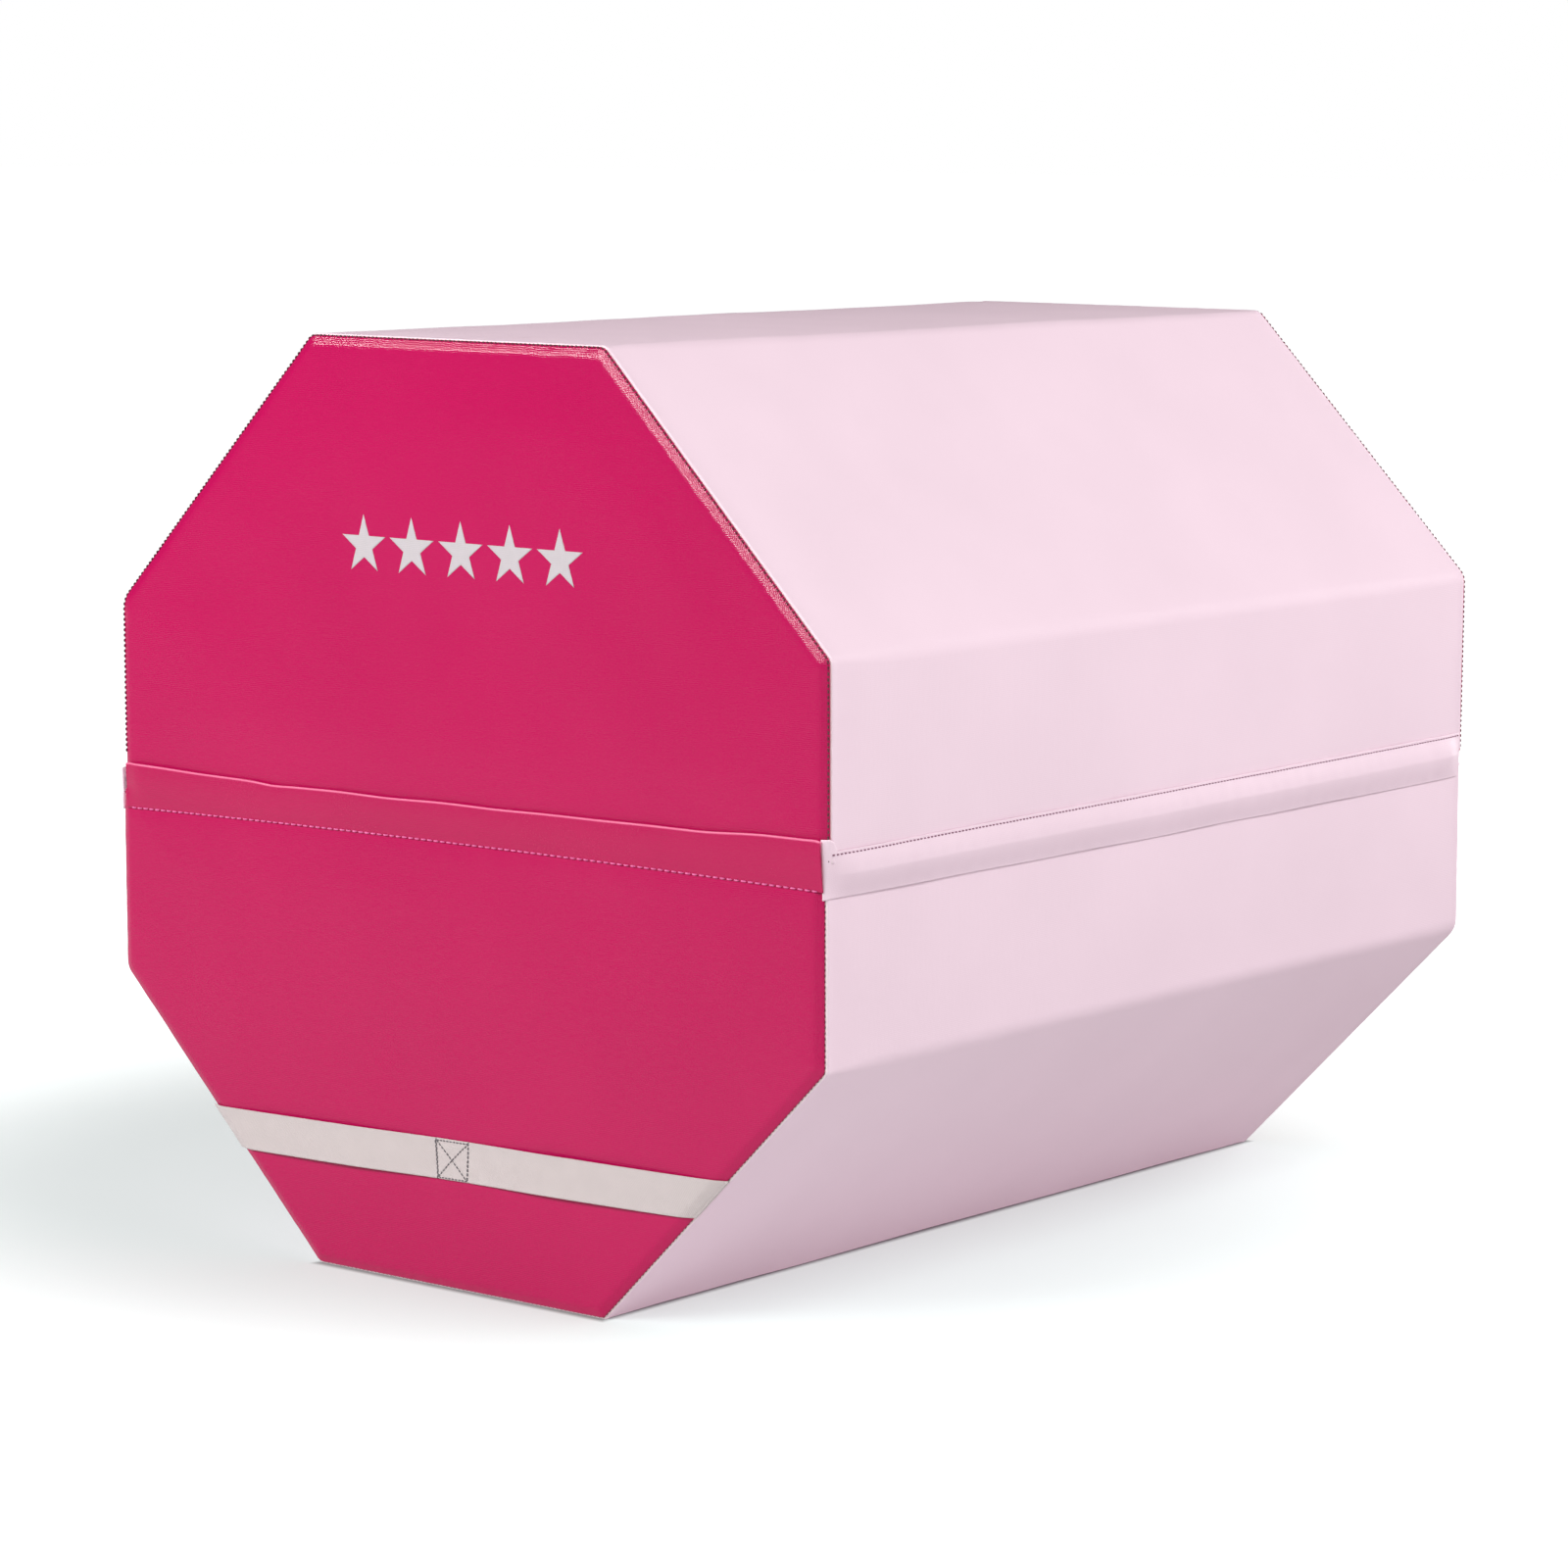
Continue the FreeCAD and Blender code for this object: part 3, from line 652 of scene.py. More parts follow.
def wrap_section(half, radii):
    """Section of a wrap: points (x, h), outward normals and the drop at its two cut edges."""
    ring = octagon_ring(half, 0, [0.01] + radii + [0.01])
    inner = ring[ARC // 2 + CUT_COUNT + ARC: len(ring) - ARC // 2]
    step = np.gradient(inner, axis=0)
    normals = np.stack([step[:, 1], -step[:, 0]], axis=1)
    normals /= np.linalg.norm(normals, axis=1, keepdims=True)
    place, drop = WRAP_ROLL.T
    edge = np.stack([np.full(len(place), REACH), place + CUT_GAP["outer"]], axis=1)
    keep = inner[:, 1] > edge[-1, 1] + 2
    inner, normals = inner[keep], normals[keep]
    right_way = np.tile([1.0, 0.0], (len(edge), 1))
    points = np.concatenate([edge, inner, edge[::-1] * [-1, 1]])
    normals = np.concatenate([right_way, normals, -right_way])
    return points, normals, np.concatenate([drop, np.zeros(len(inner)), drop[::-1]])


def block_stations(count):
    """Stations from the front seam to the rear one, close together at both, and the drop at each."""
    run, drop = WRAP_ROLL.T
    middle = np.linspace(run[-1], 2 * FRONT - run[-1], count)[1:-1]
    stations = np.concatenate([run, middle, 2 * FRONT - run[::-1]])
    return stations, np.concatenate([drop, np.zeros(len(middle)), drop[::-1]])


def wrap_cover(half):
    """The strip round the five outer flats: soft folds, small gathers and a rolled edge at every seam."""
    stations, end_drop = block_stations(130)
    rows, flat = [], []
    for station, dropped in zip(stations, end_drop):
        open_out = ease(min(station, 2 * FRONT - station), 4, FOLD_RUN)
        corners = CORNERS["front" if station < FRONT else "rear"][half]
        points, normals, drop = wrap_section(half, [r + (FOLD - r) * open_out for r in corners])
        girth = path_lengths(points)
        girth = girth - girth[-1] / 2
        here = np.full(len(girth), station)
        out = wrap_swell(half, girth, here) - np.minimum(drop + dropped, WRAP_MOST_DROP)
        spot = points + normals * out[:, None]
        height = np.maximum(level(half, spot[:, 1]), FLOOR_GAP)
        lean = sway(half, spot[:, 1], station - FRONT)
        rows.append(np.stack([spot[:, 0] + lean, here - FRONT, height], axis=1))
        flat.append(np.stack([girth, here], axis=1))
    piece = shell(f"{half}_wrap", np.array(rows), np.array(flat), WRAP, INSIDE[half])
    declare(piece, f"{half}_half", f"{half}_wrap_cover")


def end_ring(half, end, inset):
    """The outline of an end panel at an inset, its corners a little sharper further in."""
    inset = inset + PANEL_INSET[half]
    radii = [max(r - 0.35 * inset, 1.5) for r in CORNERS[end][half]]
    cut = 4.0 - 0.1 * inset
    return octagon_ring(half, inset, [cut] + radii + [cut])


def end_panel(half, end):
    """A half-octagon panel: rolled rings round its seam, then a grid across the middle."""
    way = ENDS[end]
    insets, depths = PANEL_ROLL.T
    rings = np.array([end_ring(half, end, inset) for inset in [*insets, PANEL_CORE]])
    count = rings.shape[1]
    grid = filled(rings[-1])
    flat = np.concatenate([rings[:-1].reshape(-1, 2), grid.reshape(-1, 2)])
    depth = np.concatenate([np.repeat(depths, count), np.zeros(grid.shape[0] * grid.shape[1])])
    x, h = flat[:, 0], flat[:, 1]
    around = np.arctan2(h - REACH / 2, x) * 260
    edge = np.exp(-np.maximum(outline_distance(half, x, h) - 1, 0) / 8)
    out = face_swell(half, end, x * way, h) - depth + 0.16 * edge * ripple(around, 14, 5)
    points = side_place(end, (x + sway(half, h, -way * FRONT)) * way, out, level(half, h))
    piece = end_skin(f"{half}_{end}_panel", points, flat, len(rings) - 1, count, grid.shape[:2], way)
    declare(piece, f"{half}_half", f"{half}_{end}_end_panel")


def end_thread(half, end):
    """The stitches that show in the seam round an end panel."""
    way = ENDS[end]
    seam_inset = 0.85
    x, h = end_ring(half, end, seam_inset)[ARC + CUT_COUNT + 4: -(ARC // 2 + 3)].T
    drop = face_swell(half, end, x * way, h) - THREAD_DEPTH[half]
    line = side_place(end, (x + sway(half, h, -way * FRONT)) * way, drop, level(half, h))
    up = (line[:, 2] - INSIDE[half][2]) / REACH
    away = np.stack([line[:, 0] / REACH, np.full(len(line), -0.25 * way), up], axis=1)
    places, runs = walk(line, STITCH)
    near = [np.argmin(np.sum((line - place) ** 2, axis=1)) for place in places]
    name = f"{half}_{end}_seam_thread"
    threads = stitches(name, places, runs, away[near], DARK_THREAD, STITCH * 0.68, 0.62)
    declare(threads, f"{half}_half")


def filled(ring):
    """A grid of points whose border is a closed ring that starts at one of its corners."""
    across = CUT_COUNT + ARC
    up = (len(ring) - 2 * across) // 2
    closed = np.concatenate([ring, ring[:1]])
    bottom = closed[: across + 1]
    right = closed[across: across + up + 1]
    top = closed[across + up: 2 * across + up + 1][::-1]
    left = closed[2 * across + up:][::-1]
    u = np.linspace(0, 1, across + 1)[None, :, None]
    v = np.linspace(0, 1, up + 1)[:, None, None]
    ruled = (1 - v) * bottom[None] + v * top[None] + (1 - u) * left[:, None] + u * right[:, None]
    foot = (1 - u) * (1 - v) * bottom[0] + u * (1 - v) * bottom[-1]
    return ruled - (foot + (1 - u) * v * top[0] + u * v * top[-1])


def end_skin(name, points, flat, rings, count, grid, way):
    """Closed skin from rings of points that lead in to a grid of points."""
    rows, columns = grid
    faces = grid_quads(rings, count, closed=True)
    edge = border(rings * count + np.arange(rows * columns).reshape(rows, columns))
    last = np.arange((rings - 1) * count, rings * count)
    for a, b, c, d in zip(last, np.roll(last, -1), np.roll(edge, -1), edge):
        faces.append([int(a), int(b), int(c), int(d)])
    faces += grid_quads(rows, columns, rings * count)
    total = len(points)
    middle = np.array([0, 0, points[:, 2].mean()])
    # The back lies behind the face, and in the first five rings also inside them.
    pull = np.zeros_like(points)
    turned = slice(0, count * 5)
    pull[turned] = (middle - points[turned]) * [1, 0, 1]
    pull[turned] /= np.linalg.norm(pull[turned], axis=1, keepdims=True)
    pull[:, 1] += way
    back = points + pull / np.linalg.norm(pull, axis=1, keepdims=True) * SKIN
    faces += [[n + total for n in face] for face in faces]
    faces += rim_quads(np.arange(count), total)
    return make_object(name, np.concatenate([points, back]), faces, MAGENTA, np.concatenate([flat, flat]))


def inner_panel(half, side):
    """The cut face on one side of the zip, rolled over its outer edge, tucked in and hemmed."""
    sign = HALVES[half]
    way = SIDES[side]
    hem, hem_drop = HEM_ROLL.T + [[ZIP_HEM], [0]]
    inset, outer_drop = PANEL_ROLL[::-1].T
    middle = np.linspace(hem[-1], REACH - inset[0], 64)[1:-1]
    x = np.concatenate([hem, middle, REACH - inset])
    bed = 0.3
    x_drop = np.concatenate([hem_drop, np.full(len(middle), bed), outer_drop + bed * (outer_drop < 0.5)])
    y, y_drop = block_stations(150)
    y = y - FRONT
    y_drop = np.maximum(y_drop, 0)
    grid_x, grid_y = np.meshgrid(x, y)
    inside = np.minimum(np.minimum(REACH - grid_x, grid_x - ZIP_HEM - 12), FRONT - np.abs(grid_y))
    soft = ease(inside, 4, 50)
    seed = 81 + 2 * (half == "upper") + (side == "right")
    sink = soft * (0.4 + 0.3 * drift(grid_x, grid_y, 150, seed) + 0.12 * drift(grid_x, grid_y, 45, seed + 9))
    sink = sink + 0.12 * np.exp(-np.maximum(inside, 0) / 8) * (1 + ripple(grid_x + grid_y, 17, seed + 5))
    depth = np.minimum(x_drop[None] + y_drop[:, None], CUT_MOST_DROP) + np.clip(sink, 0, 1)
    lean = sway(half, 0, grid_y)
    points = np.stack([way * grid_x + lean, grid_y, PARTING + sign * (CUT_GAP["inner"] + depth)], axis=-1)
    cloth = np.stack([grid_x, grid_y], axis=-1)
    piece = shell(f"{half}_{side}_cut_face", points, cloth, INNER, INSIDE[half])
    declare(piece, f"{half}_half", f"{half}_inner_panel_{side}")
    z = PARTING + sign * (CUT_GAP["inner"] + 0.12)
    for number, place in enumerate(HEM_THREADS):
        line = np.array([[way * (ZIP_HEM + place) + sway(half, 0, y), y, z] for y in HEM_THREAD_ENDS])
        name = f"{half}_{side}_hem_thread_{number + 1}"
        sew(name, line, (0, 0, -sign), PINK_THREAD, f"{half}_half", radius=0.3)


def zip_teeth(half, side):
    """The coil along one zip tape: a close row of rounded nylon turns."""
    way = SIDES[side]
    x, z = way * COIL_REACH / 2, sum(COIL_LEVELS[half]) / 2
    first = COIL_ENDS[0] + (0 if way > 0 else COIL_PITCH / 2)
    places = np.array([[x, y, z] for y in np.arange(first + 1, COIL_ENDS[1] - 1, COIL_PITCH)])
    runs = np.tile([1.0, 0.12 * way, 0.0], (len(places), 1))
    outs = np.tile([0.0, 0.0, -float(HALVES[half])], (len(places), 1))
    piece = stitches(f"{half}_{side}_zip_teeth", places, runs, outs, NYLON, COIL_REACH - 0.2, 0.8)
    declare(piece, f"{half}_half", f"{half}_zip_coil_{side}")


for half_name in HALVES:
    wrap_cover(half_name)
    for end_name in ENDS:
        end_panel(half_name, end_name)
        end_thread(half_name, end_name)
    for side_name in SIDES:
        inner_panel(half_name, side_name)
        zip_teeth(half_name, side_name)

# ---- closing flaps and their hook and loop tapes ----


# How far each flap's two ends are pressed in, and how much each is shorter than the CAD node.
FLAP_TUCKS = {"front": (3.3, 0.6), "rear": (3.3, 3.3), "left": (2.0, 2.0)}
FLAP_TRIMS = {"front": (4.6, 0.0), "rear": (5.0, 3.2), "left": (0.0, 0.0)}
TAPE_WIDTH = 12


def flap_shape(side, along):
    """Foot row, folded head, reach from the side's plane at the foot, and how far the face slopes out."""
    if side == "left":
        foot = FLAP_FOOT + 0.8 + 0.5 * ripple(along, 260, 7)
        head = FLAP_HEAD - 2.0 + 0.5 * ripple(along, 240, 8)
        return foot, head, 0.5 - LEAN["lower"][0], 2.4 + 1.2 * (FRONT - along) / (2 * FRONT)
    return flap_row(along), flap_head(along), 0.3, 3.9 + 0 * along


def closing_flap(side, reach, material, slot, thread_material):
    """A doubled strip, folded over along its head and sewn to the lower half along its foot."""
    body = f"{side}_flap"
    first, last = np.array([-reach, reach]) + FLAP_TRIMS[side] * np.array([1, -1])
    hem = np.array([0, 0.4, 1.2, 2.4])
    along = np.concatenate([first + hem, np.linspace(first + 4, last - 4, 150), last - hem[::-1]])
    foot, head, base, slope = flap_shape(side, along)
    near_end = np.minimum(along - first, last - along)
    head = head - 0.8 * (1 - ease(near_end, -1, 5))
    most_tuck = np.where(along < 0, *FLAP_TUCKS[side])
    tuck = most_tuck * (1 - ease(near_end, -2, 15))
    fold = 0.85 * (0.55 + 0.45 * ease(near_end, -0.3, 1.6))
    share = np.linspace(0, 1, 24)
    back_share = np.linspace(1, 0, 16)
    angles = np.linspace(0, math.pi, 9)[1:-1]
    sections = []
    for i, place in enumerate(along):
        def face(s):
            rise = foot[i] + s * (head[i] - fold[i] - foot[i])
            wave = 0.35 * ease(s, 0.1, 0.7) * drift(place + 0 * s, rise, 120, 21)
            gather = 0.13 * np.exp(-s * 7) * ripple(place + 0 * s, 15, 22)
            out = base + slope[i] * (1 - (1 - s) ** 2.1) + wave + gather - tuck[i] * ease(s, 0.05, 0.6)
            return out, rise
        out, rise = face(share)
        middle = out[-1] - fold[i]
        arc_out = middle + fold[i] * np.cos(angles)
        arc_rise = rise[-1] + fold[i] * 1.15 * np.sin(angles)
        back, back_rise = face(back_share)
        back = back - 2 * fold[i] * (0.55 + 0.45 * ease(back_share, 0, 0.3))
        both = np.concatenate([out, arc_out, back]), np.concatenate([rise, arc_rise, back_rise])
        sections.append(side_place(side, place, *both))
    sections = np.array(sections)
    across = path_lengths(sections[len(along) // 2])
    cloth = flat_grid(along, across - across[len(share) + 4])     # zero at the fold
    piece = loft(f"{side}_closing_flap", sections, cloth, material)
    turn = side_place(side, 0.0, 1.9, FLAP_FOOT)
    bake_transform(piece)
    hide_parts(body)
    inner = along[4:-4]
    line = side_place(side, inner, base + 0.5, flap_shape(side, inner)[0] + 0.5)
    name = f"{side}_flap_foot_thread"
    sew(name, line, OUTWARD[side], thread_material, "lower_half", radius=0.6, pitch=5.8, share=0.72)


def touch_tape(side, reach, kind):
    """A hook tape inside a flap, or the loop tape that it grips."""
    hook = kind == "hook"
    along = np.linspace(-reach, reach, 130)
    head, base, slope = flap_shape(side, along)[1:]
    low = TAPE_FOOT + 0.2 + 0.15 * ripple(along, 60, 31)
    high = np.minimum(head - 2.0, TAPE_HEAD + 1.5) + 0.12 * ripple(along, 45, 32)
    share, lift = TAPE_OUTLINE.T
    sections = []
    for i, place in enumerate(along):
        z = low[i] + share * (high[i] - low[i])
        if hook:
            out = base + slope[i] - 1.75 + 0.2 * ripple(along[i:i + 1], 120, 21)[0] - lift
        else:
            out = 0.05 + lift
            if side == "left":
                swell = wrap_swell("upper", HALF_GIRTH - np.abs(z - PARTING), FRONT - place + 0 * z)
                out = out + swell - sway("upper", 0, -place)
        sections.append(side_place(side, place, out, z))
    cloth = flat_grid(along, share * TAPE_WIDTH)
    piece = loft(f"{side}_{kind}_strip", np.array(sections), cloth, HOOK if hook else LOOP)
    if hook:
        declare(piece, f"{side}_flap", f"{side}_hook_tape")
    else:
        declare(piece, "upper_half", f"upper_{side}_loop_tape")


for side_name, reach, *looks in (
    ("front", FLAP_REACH, FLAP, "magenta_vinyl", ROSE_THREAD),
    ("rear", FLAP_REACH, FLAP, "magenta_vinyl", ROSE_THREAD),
    ("left", SIDE_FLAP_REACH, PINK, "pale_pink_vinyl", MAUVE_THREAD),
):
    closing_flap(side_name, reach, *looks)
    for kind_name in ("hook", "loop"):
        touch_tape(side_name, reach - 15, kind_name)

# ---- hinge strip ----

STRIP_BULGE = 5.6


def strip_ear(y):
    """How far the strip's hem stands up above its thread row at the front corner."""
    return 8 * (1 - ease(y + STRIP_REACH, 2, 6))


def strip_edges(y):
    """Heights of the strip's lower crease and of its upper edge. Both rise a little to the rear."""
    rear = (y + STRIP_REACH) / (2 * STRIP_REACH)
    foot = STRIP_FOOT + 2.4 + 2.6 * rear**2 + 0.35 * ripple(y, 170, 41)
    head = STRIP_HEAD + 3.1 + 4.8 * rear + 0.3 * ripple(y, 200, 42)
    return foot, head + strip_ear(y)


def strip_face(y, share):
    """Place of the strip's outer face at shares of the way from its crease to its thread row."""
    foot, head = strip_edges(y)
    z = foot + share * (head - foot)
    girth = HALF_GIRTH - np.abs(z - PARTING)
    lower, upper = (sway(half, 0, y) + wrap_swell(half, girth, y + FRONT) for half in HALVES)
    base = lower + (upper - lower) * ease(share, 0, 1)
    fade = 0.05 + 0.95 * ease(STRIP_REACH - np.abs(y), -1, 24)
    swing = np.clip(1 - np.abs(share - 0.52) * 2, 0, 1)
    roof = np.sqrt(swing**2 + 0.05) - math.sqrt(0.05)
    body = STRIP_BULGE * fade * (0.4 * roof + 0.6 * np.sin(math.pi * np.clip(share, 0, 1)) ** 0.9)
    wave = 0.35 * swing * drift(y, z, 150, 43)
    pucker = 0.3 * np.exp(-share * 9) * ripple(y, 13, 44) + 0.2 * np.exp((share - 1) * 9) * ripple(y, 12, 45)
    lift = (0.75 + 0.35 * ease(share, 0.5, 1)) * np.where(y < 0, 1, 0.3 + 0.7 * fade)
    return REACH + base + body + wave + pucker * np.minimum(swing * 6, 1) + lift, z


def hinge_strip():
    """The strip that joins the halves, tucked in at its foot, bellied, and sewn to the upper half.

    Its ends turn the corner of the block and run under the end flaps.
    """
    turn = np.linspace(0, 1.3, 8)[1:]
    rear_end = STRIP_REACH - 4
    straight = np.linspace(-STRIP_REACH, rear_end, 230)
    y = np.concatenate([0 * turn - STRIP_REACH, straight, 0 * turn + rear_end])
    turns = np.concatenate([turn[::-1], 0 * straight, turn])
    share = np.concatenate([[-0.03], np.linspace(0, 1, 30), [1.03]])
    sections = []
    for place, angle in zip(y, turns):
        x, z = strip_face(place + 0 * share, share)
        normal = np.stack([np.gradient(z), -np.gradient(x)], axis=1)
        normal /= np.linalg.norm(normal, axis=1, keepdims=True)
        outer = np.stack([x, z], axis=1)
        inner = (outer - normal * SKIN)[::-1]
        loop = np.concatenate([outer, inner])
        pivot = REACH - 3
        swung = (loop[:, 0] - pivot) * (1 - 0.25 * math.sin(angle))
        run = np.sign(place) * swung * math.sin(angle)
        sections.append(np.stack([pivot + swung * math.cos(angle), place + run, loop[:, 1]], axis=1))
    sections = np.array(sections)
    cloth = flat_grid(y, path_lengths(sections[99]))[..., ::-1]
    piece = loft("hinge_band", sections, cloth, PINK)
    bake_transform(piece)
    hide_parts("hinge_strip")
    row = np.linspace(1.5 - STRIP_REACH, rear_end - 2, 260)
    foot, head = strip_edges(row)
    x, z = strip_face(row, 0.965 * (head - strip_ear(row) - foot) / (head - foot))
    line = np.stack([x + 0.1, row, z], axis=1)
    sew("hinge_band_thread", line, (1, 0, 0.1), MAUVE_THREAD, "upper_half", radius=0.5)


hinge_strip()

# ---- handle straps ----

WEB_WIDTH = 28.0
WEB_THICK = 1.4
STRAP_SHORT = {"front": 0.4, "rear": 5.0}   # how far short of the seams' outline each strap stops
STRAP_SPAN = 215           # about half of a strap's length
STRAP_CLOTH = 220
STRAP_TILT = 0.0195        # rise to the right
BOX_REACH = TACK_REACH / STRAP_SPAN
BOX_LOW, BOX_HIGH = 0.04, 0.95


def strap_face(end, share, across):
    """Place of a strap's outer face.

    share runs from -1 at one sloping seam to 1 at the other, and across from 0 to 1.
    """
    middle = (STRAP_FOOT + STRAP_HEAD) / 2 + 2.5
    offset = (across - 0.5) * WEB_WIDTH
    seam = slope_reach("lower", share) * math.sqrt(2) - PARTING + middle + offset
    along = share * (seam - STRAP_SHORT[end]) / (1 - STRAP_TILT * np.sign(share))
    z = middle + offset + STRAP_TILT * along - 0.8 * (along / STRAP_SPAN) ** 2
    h = PARTING - z
    inset = slope_reach("lower", share) - (np.abs(along) + h) / math.sqrt(2)
    near = np.interp(inset - PANEL_INSET["lower"], *PANEL_ROLL[ROLL_BROW:].T)
    free = np.clip((np.abs(along) - TACK_REACH) / (seam - TACK_REACH), 0, 1)
    bow = 2.6 * np.sin(math.pi * free) ** 1.1
    sag = 0.25 * np.sin(math.pi * free) * ripple(along, 90, 51)
    cup = 0.25 * (2 * across - 1) ** 2
    dent = 0.35 * np.exp(-((np.abs(along) - TACK_REACH) / 2.2) ** 2)
    out = face_swell("lower", end, along, h) - near + WEB_THICK + 0.25 + bow + sag + cup - dent
    return along, out, z


def strap_lean(end, z):
    """How far a strap is carried along its side by the lower half's lean."""
    return sway("lower", PARTING - z, -ENDS[end] * FRONT) * ENDS[end]


def handle_strap(end):
    """Webbing sewn into the two sloping seams and tacked to the panel in the middle, slack between."""
    left, right = np.linspace(-1, -0.94, 14)[:-1], np.linspace(0.94, 1, 14)[1:]
    share = np.concatenate([left, np.linspace(-0.94, 0.94, 150), right])
    half = [0.0, 0.006, 0.02, 0.045, 0.08, 0.2, 0.35, 0.5]
    front = np.array(half + [0.65, 0.8, 0.92, 0.955, 0.98, 0.994, 1.0])
    near_edge = np.minimum(front, 1 - front)
    bead = 0.16 * np.exp(-((near_edge - 0.03) / 0.03) ** 2)
    round_off = 0.7 * (1 - ease(near_edge, -0.004, 0.02))
    sections = []
    for s in share:
        along, out, z = strap_face(end, s + 0 * front, front)
        along = along + strap_lean(end, z)
        face = side_place(end, along, out + bead - round_off, z)
        back = side_place(end, along, out - WEB_THICK - bead + round_off * 0.9, z)[::-1]
        sections.append(np.concatenate([face, back]))
    cloth = flat_grid(share * STRAP_CLOTH, np.concatenate([front, front[::-1]]) * WEB_WIDTH)
    piece = loft(f"{end}_strap", np.array(sections), cloth, WEB)
    declare(piece, "lower_half", f"{end}_handle_strap")


def box_tack(end):
    """The sewn box and cross that hold a strap's middle."""
    low_left, high_left = (-BOX_REACH, BOX_LOW), (-BOX_REACH, BOX_HIGH)
    low_right, high_right = (BOX_REACH, BOX_LOW), (BOX_REACH, BOX_HIGH)
    again = 0.003              # the box's upright sides are sewn twice
    paths = [
        (low_left, high_left), (low_right, high_right), (low_left, high_right),
        (high_left, low_right), (low_left, low_right), (high_left, high_right),
        ((-BOX_REACH - again, BOX_HIGH), (-BOX_REACH - again, BOX_LOW)),
        ((BOX_REACH + again, BOX_LOW), (BOX_REACH + 0.002, BOX_HIGH)),
    ]
    rows = []
    for start, stop in paths:
        along, out, z = strap_face(end, *np.linspace(start, stop, 12).T)
        rows.append(walk(side_place(end, along + strap_lean(end, z), out + 0.05, z), 3.0))
    places, runs = (np.concatenate(parts) for parts in zip(*rows))
    outs = np.tile(np.array(OUTWARD[end], float), (len(places), 1))
    piece = stitches(f"{end}_strap_tack", places, runs, outs, GREY_THREAD, 2.7, 0.5)
    declare(piece, "lower_half", f"{end}_handle_box_stitch")


for end_name in ENDS:
    handle_strap(end_name)
    box_tack(end_name)

# ---- printed stars ----


def star_print(number, x, z, size):
    """A plain five-pointed star of ink, a film that follows the panel's face."""
    turns = np.linspace(0, TURN, 61)[:-1] + math.pi / 2
    point, half_tip = TURN / 5, math.radians(18)
    phase = np.abs((turns - math.pi / 2 + point / 2) % point - point / 2)
    reach = size * math.sin(half_tip) / np.sin(half_tip + phase)
    points = []
    layers = [(share, 0.12) for share in np.linspace(0.02, 1, 9)[:-1]]
    for share, lift in layers + [(1.0, 0.04), (1.0, -0.35)]:
        px, pz = x + share * reach * np.cos(turns), z + share * reach * np.sin(turns)
        h = (pz - PARTING) / STRETCH["upper"]
        out = face_swell("upper", "front", px, h) + lift
        points.append(side_place("front", px + sway("upper", h, -FRONT), out, pz))
    points = np.array(points)
    piece = loft(f"printed_star_{number}", points, points[..., [0, 2]], INK)
    declare(piece, "upper_half")


STAR_MIDDLE, STAR_PITCH, STAR_HEIGHT, STAR_SIZE = 7.5, 44.0, 501.0, 21.0
for place in range(5):
    star_print(place + 1, STAR_MIDDLE + (place - 2) * STAR_PITCH, STAR_HEIGHT, STAR_SIZE)

# ---- the rest of the CAD pieces keep their shape and get their material ----

KEPT = {"foam_slab": FOAM, "zip_slider": ENAMEL, "zip_stops": ENAMEL, "zip_tape": ZIP_TAPE}
for node_name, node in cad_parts.items():
    for part_name, material in KEPT.items():
        if part_name in node_name:
            node.data.materials.clear()
            node.data.materials.append(material)

# ---- camera, floor and light ----

LENS, SENSOR, AZIMUTH, ELEVATION, ROLL = 116.92, 36, 39.045, 7.69, 0.19
CAMERA_PLACE = (2.291, -2.855, 0.801)
FLOOR_SIZE = 40.0          # half of the floor's width, in metres
FADE = (0.36, 0.86)        # the floor burns out between these distances from its middle
FADE_MIDDLE = (-0.16, -0.04, 0.0)
PAINTED_CONTACT_SHADOW = (-0.002, 0.004)  # painted contact shadow: the floor's glow to the eye goes dark along the block's outline, between these distances from it
LAMPS = [                  # name, place, target, size in metres and power in watts
    ("key", (2.7, 0.6, 2.9), (0, 0, 0.3), (2.0, 2.0), 102),
    ("high_key", (2.2, 0.2, 3.2), (0, 0, 0.3), (2.4, 2.4), 12),
    ("front", (0.9, -3.5, 2.2), (0, 0, 0.3), (2.2, 2.2), 32),
    ("strip", (-1.14, -2.83, 1.77), (0, -0.38, 0.45), (2.4, 0.45), 92),
    ("back", (0.1, 3.6, 0.8), (0, 0, 0.35), (2.0, 1.0), 46),
]


def stood(right, up, back, place):
    """The matrix of a camera or lamp, from the ways of its own axes and its place."""
    return Matrix([[right[i], up[i], back[i], place[i]] for i in range(3)] + [[0, 0, 0, 1]])


def make_camera():
    """Looks along a direction given by its bearing and height, tipped over a little."""
    turn, lift, tip = (math.radians(a) for a in (AZIMUTH, ELEVATION, ROLL))
    back = np.array([math.sin(turn) * math.cos(lift), -math.cos(turn) * math.cos(lift), math.sin(lift)])
    right = np.cross(-back, [0, 0, 1])
    right /= np.linalg.norm(right)
    up = np.cross(right, -back)
    right, up = right * math.cos(tip) + up * math.sin(tip), up * math.cos(tip) - right * math.sin(tip)
    camera = add_object("camera", bpy.data.cameras.new("camera"))
    camera.data.lens = LENS
    camera.data.sensor_width = SENSOR
    camera.data.clip_end = 200
    camera.matrix_world = stood(right, up, back, CAMERA_PLACE)
    bpy.context.scene.camera = camera


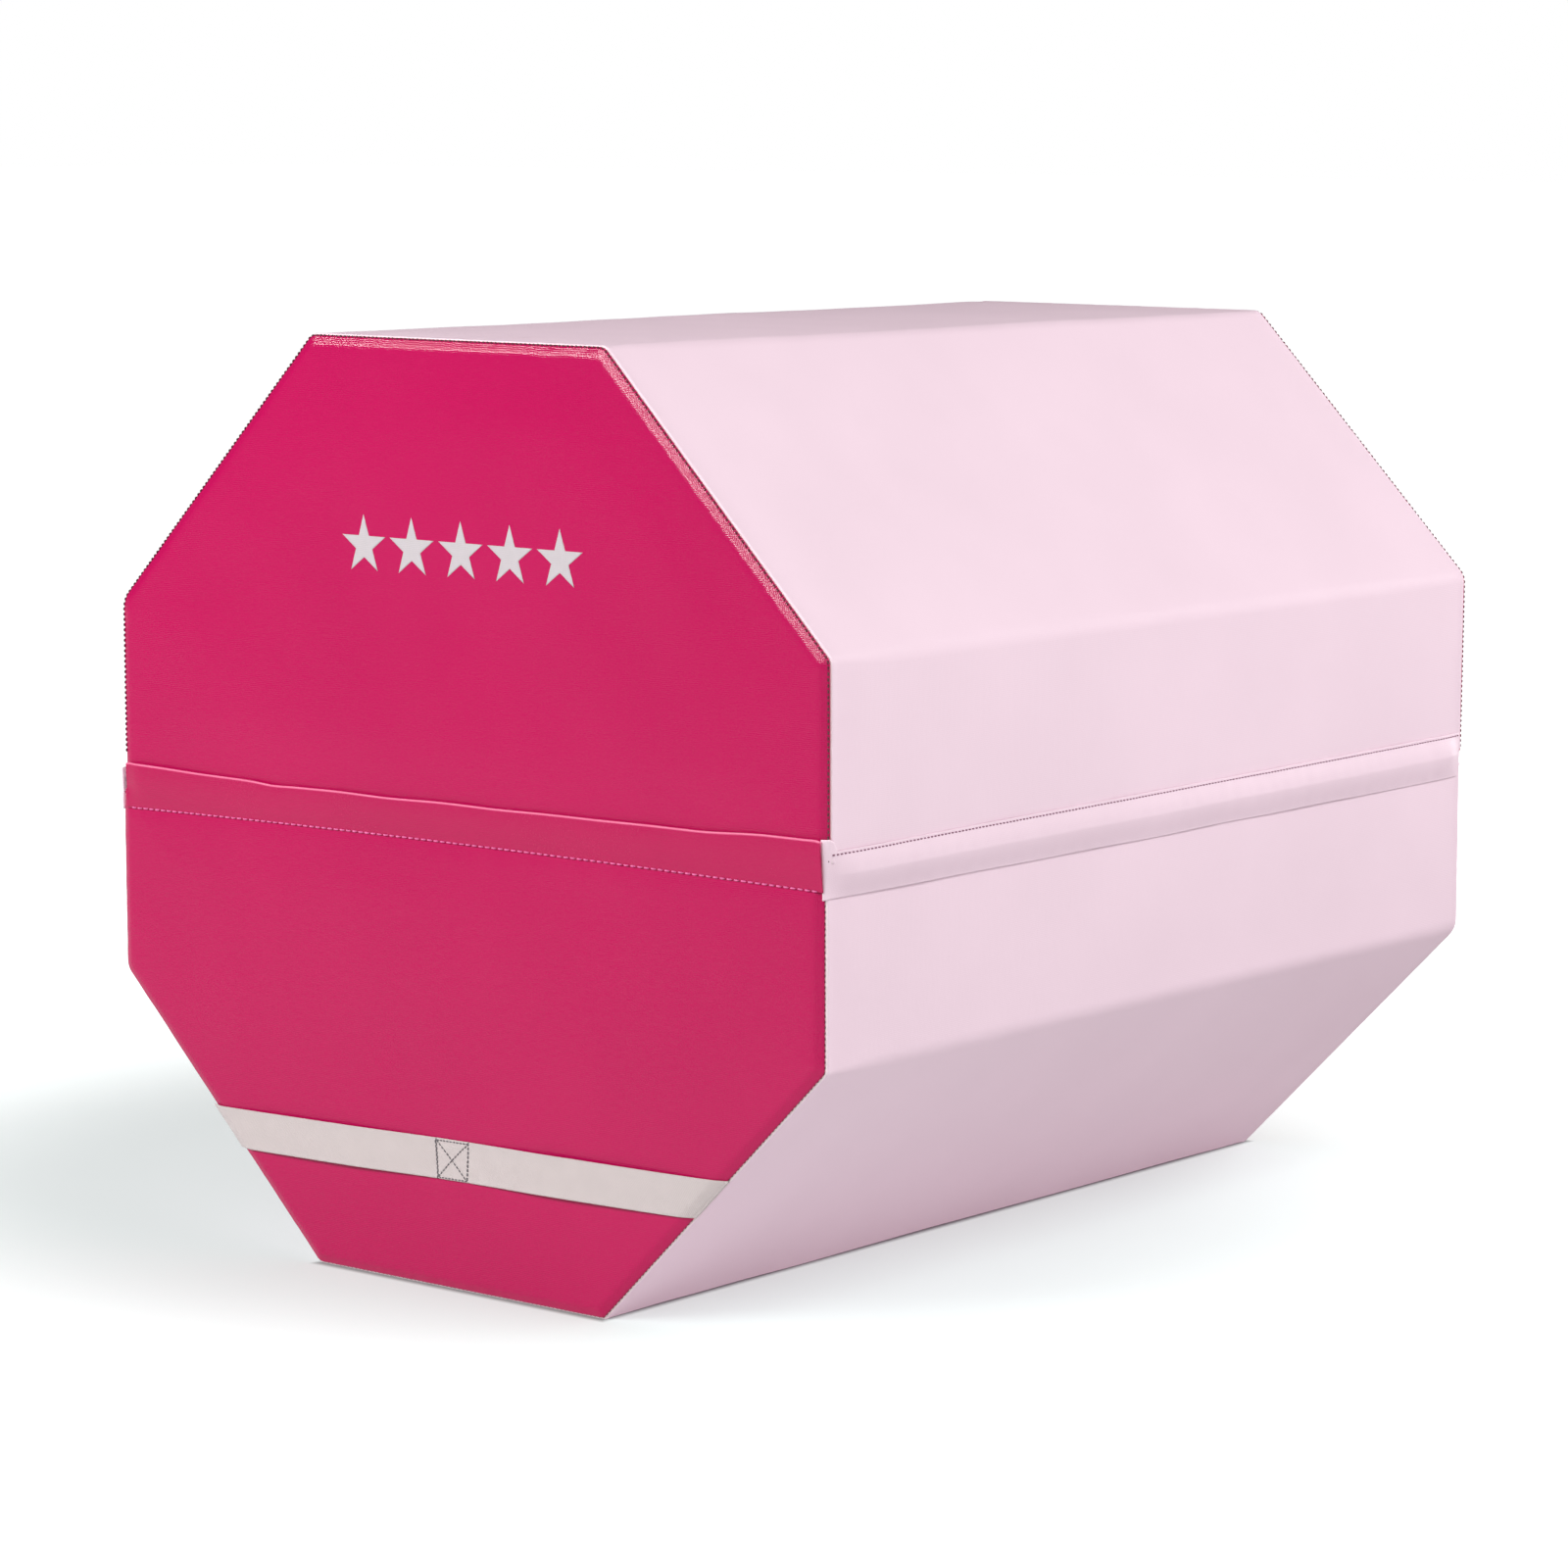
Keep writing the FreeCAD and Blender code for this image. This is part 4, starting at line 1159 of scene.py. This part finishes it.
def make_floor(base, glow, bounce):
    """Pale paper. It glows to the eye, and further out it burns out like the sweep of a studio."""
    r = Recipe("studio_floor")
    away = r.node("VectorMath", Vector=r.place())
    away.operation = "DISTANCE"
    away.inputs[1].default_value = FADE_MIDDLE
    # Painted shade: the glow to the eye is weaker near the block, so the floor round it is darker, and full
    # further out.
    fade = r.node("MapRange", Value=away.outputs["Value"], From_Min=FADE[0], From_Max=FADE[1], To_Min=glow)
    fade.interpolation_type = "SMOOTHSTEP"
    seen = r.node("LightPath").outputs["Is Camera Ray"]
    split = r.node("SeparateXYZ", Vector=r.place())
    beside = r.math("SUBTRACT", r.math("ABSOLUTE", split.outputs["X"]), CORNER * MM)
    beyond = r.math("SUBTRACT", r.math("ABSOLUTE", split.outputs["Y"]), FRONT * MM)
    outline = r.math("MAXIMUM", beside, beyond)
    # Painted contact shadow: the glow to the eye falls to nothing along the block's standing outline.
    lit = r.node("MapRange", Value=outline, From_Min=PAINTED_CONTACT_SHADOW[0], From_Max=PAINTED_CONTACT_SHADOW[1])
    glowing = r.math("MULTIPLY", seen, fade.outputs["Result"])
    to_the_eye = r.math("MULTIPLY", glowing, lit.outputs["Result"])
    # Painted bounce light: to all rays but the camera's the floor glows pink at strength bounce and lights
    # the block from below like a lamp.
    to_the_rest = r.math("MULTIPLY", r.math("SUBTRACT", 1.0, seen), bounce)
    light = r.node("MixRGB", Fac=seen, Color1=(1.0, 0.8, 0.87, 1), Color2=(1, 1, 1, 1))
    r.done(Base_Color=r.tint(base, r.spread(r.noise(3.0), 0.99, 1.01)), Roughness=0.9, Specular_IOR_Level=0.1)
    r.done(Emission_Color=light.outputs["Color"], Emission_Strength=r.math("ADD", to_the_eye, to_the_rest))
    mesh = bpy.data.meshes.new("floor")
    corners = [(x * FLOOR_SIZE, y * FLOOR_SIZE, 0) for x, y in ((-1, -1), (1, -1), (1, 1), (-1, 1))]
    mesh.from_pydata(corners, [], [(0, 1, 2, 3)])
    mesh.materials.append(r.material)
    add_object("floor", mesh)


def make_world(seen, lit):
    """A white surround that is brighter to look at than it is as a lamp."""
    world = bpy.data.worlds.new("studio")
    bpy.context.scene.world = world
    world.use_nodes = True
    tree = world.node_tree
    ground = tree.nodes["Background"]
    ground.inputs["Color"].default_value = (1, 1, 1, 1)
    path = tree.nodes.new("ShaderNodeLightPath")
    reach = tree.nodes.new("ShaderNodeMapRange")
    reach.inputs["To Min"].default_value = lit
    reach.inputs["To Max"].default_value = seen
    tree.links.new(path.outputs["Is Camera Ray"], reach.inputs["Value"])
    tree.links.new(reach.outputs["Result"], ground.inputs["Strength"])


def make_light(name, place, target, size, power):
    """A soft rectangular lamp that faces a target."""
    data = bpy.data.lights.new(name, "AREA")
    data.shape = "RECTANGLE"
    data.size, data.size_y = size
    data.energy = power
    away = np.array(place, float) - np.array(target, float)
    away /= np.linalg.norm(away)
    side = np.cross([0, 0, 1], away)
    side /= np.linalg.norm(side)
    up = np.cross(away, side)
    add_object(name, data).matrix_world = stood(side, up, away, place)


make_camera()
# The cyan-grey base cancels the pink that the block's light throws onto the floor.
make_floor(base=(0.38, 0.44, 0.43), glow=0.46, bounce=0.37)
make_world(seen=1.0, lit=0.03)
for lamp in LAMPS:
    make_light(*lamp)
bpy.context.scene.view_settings.view_transform = "Standard"
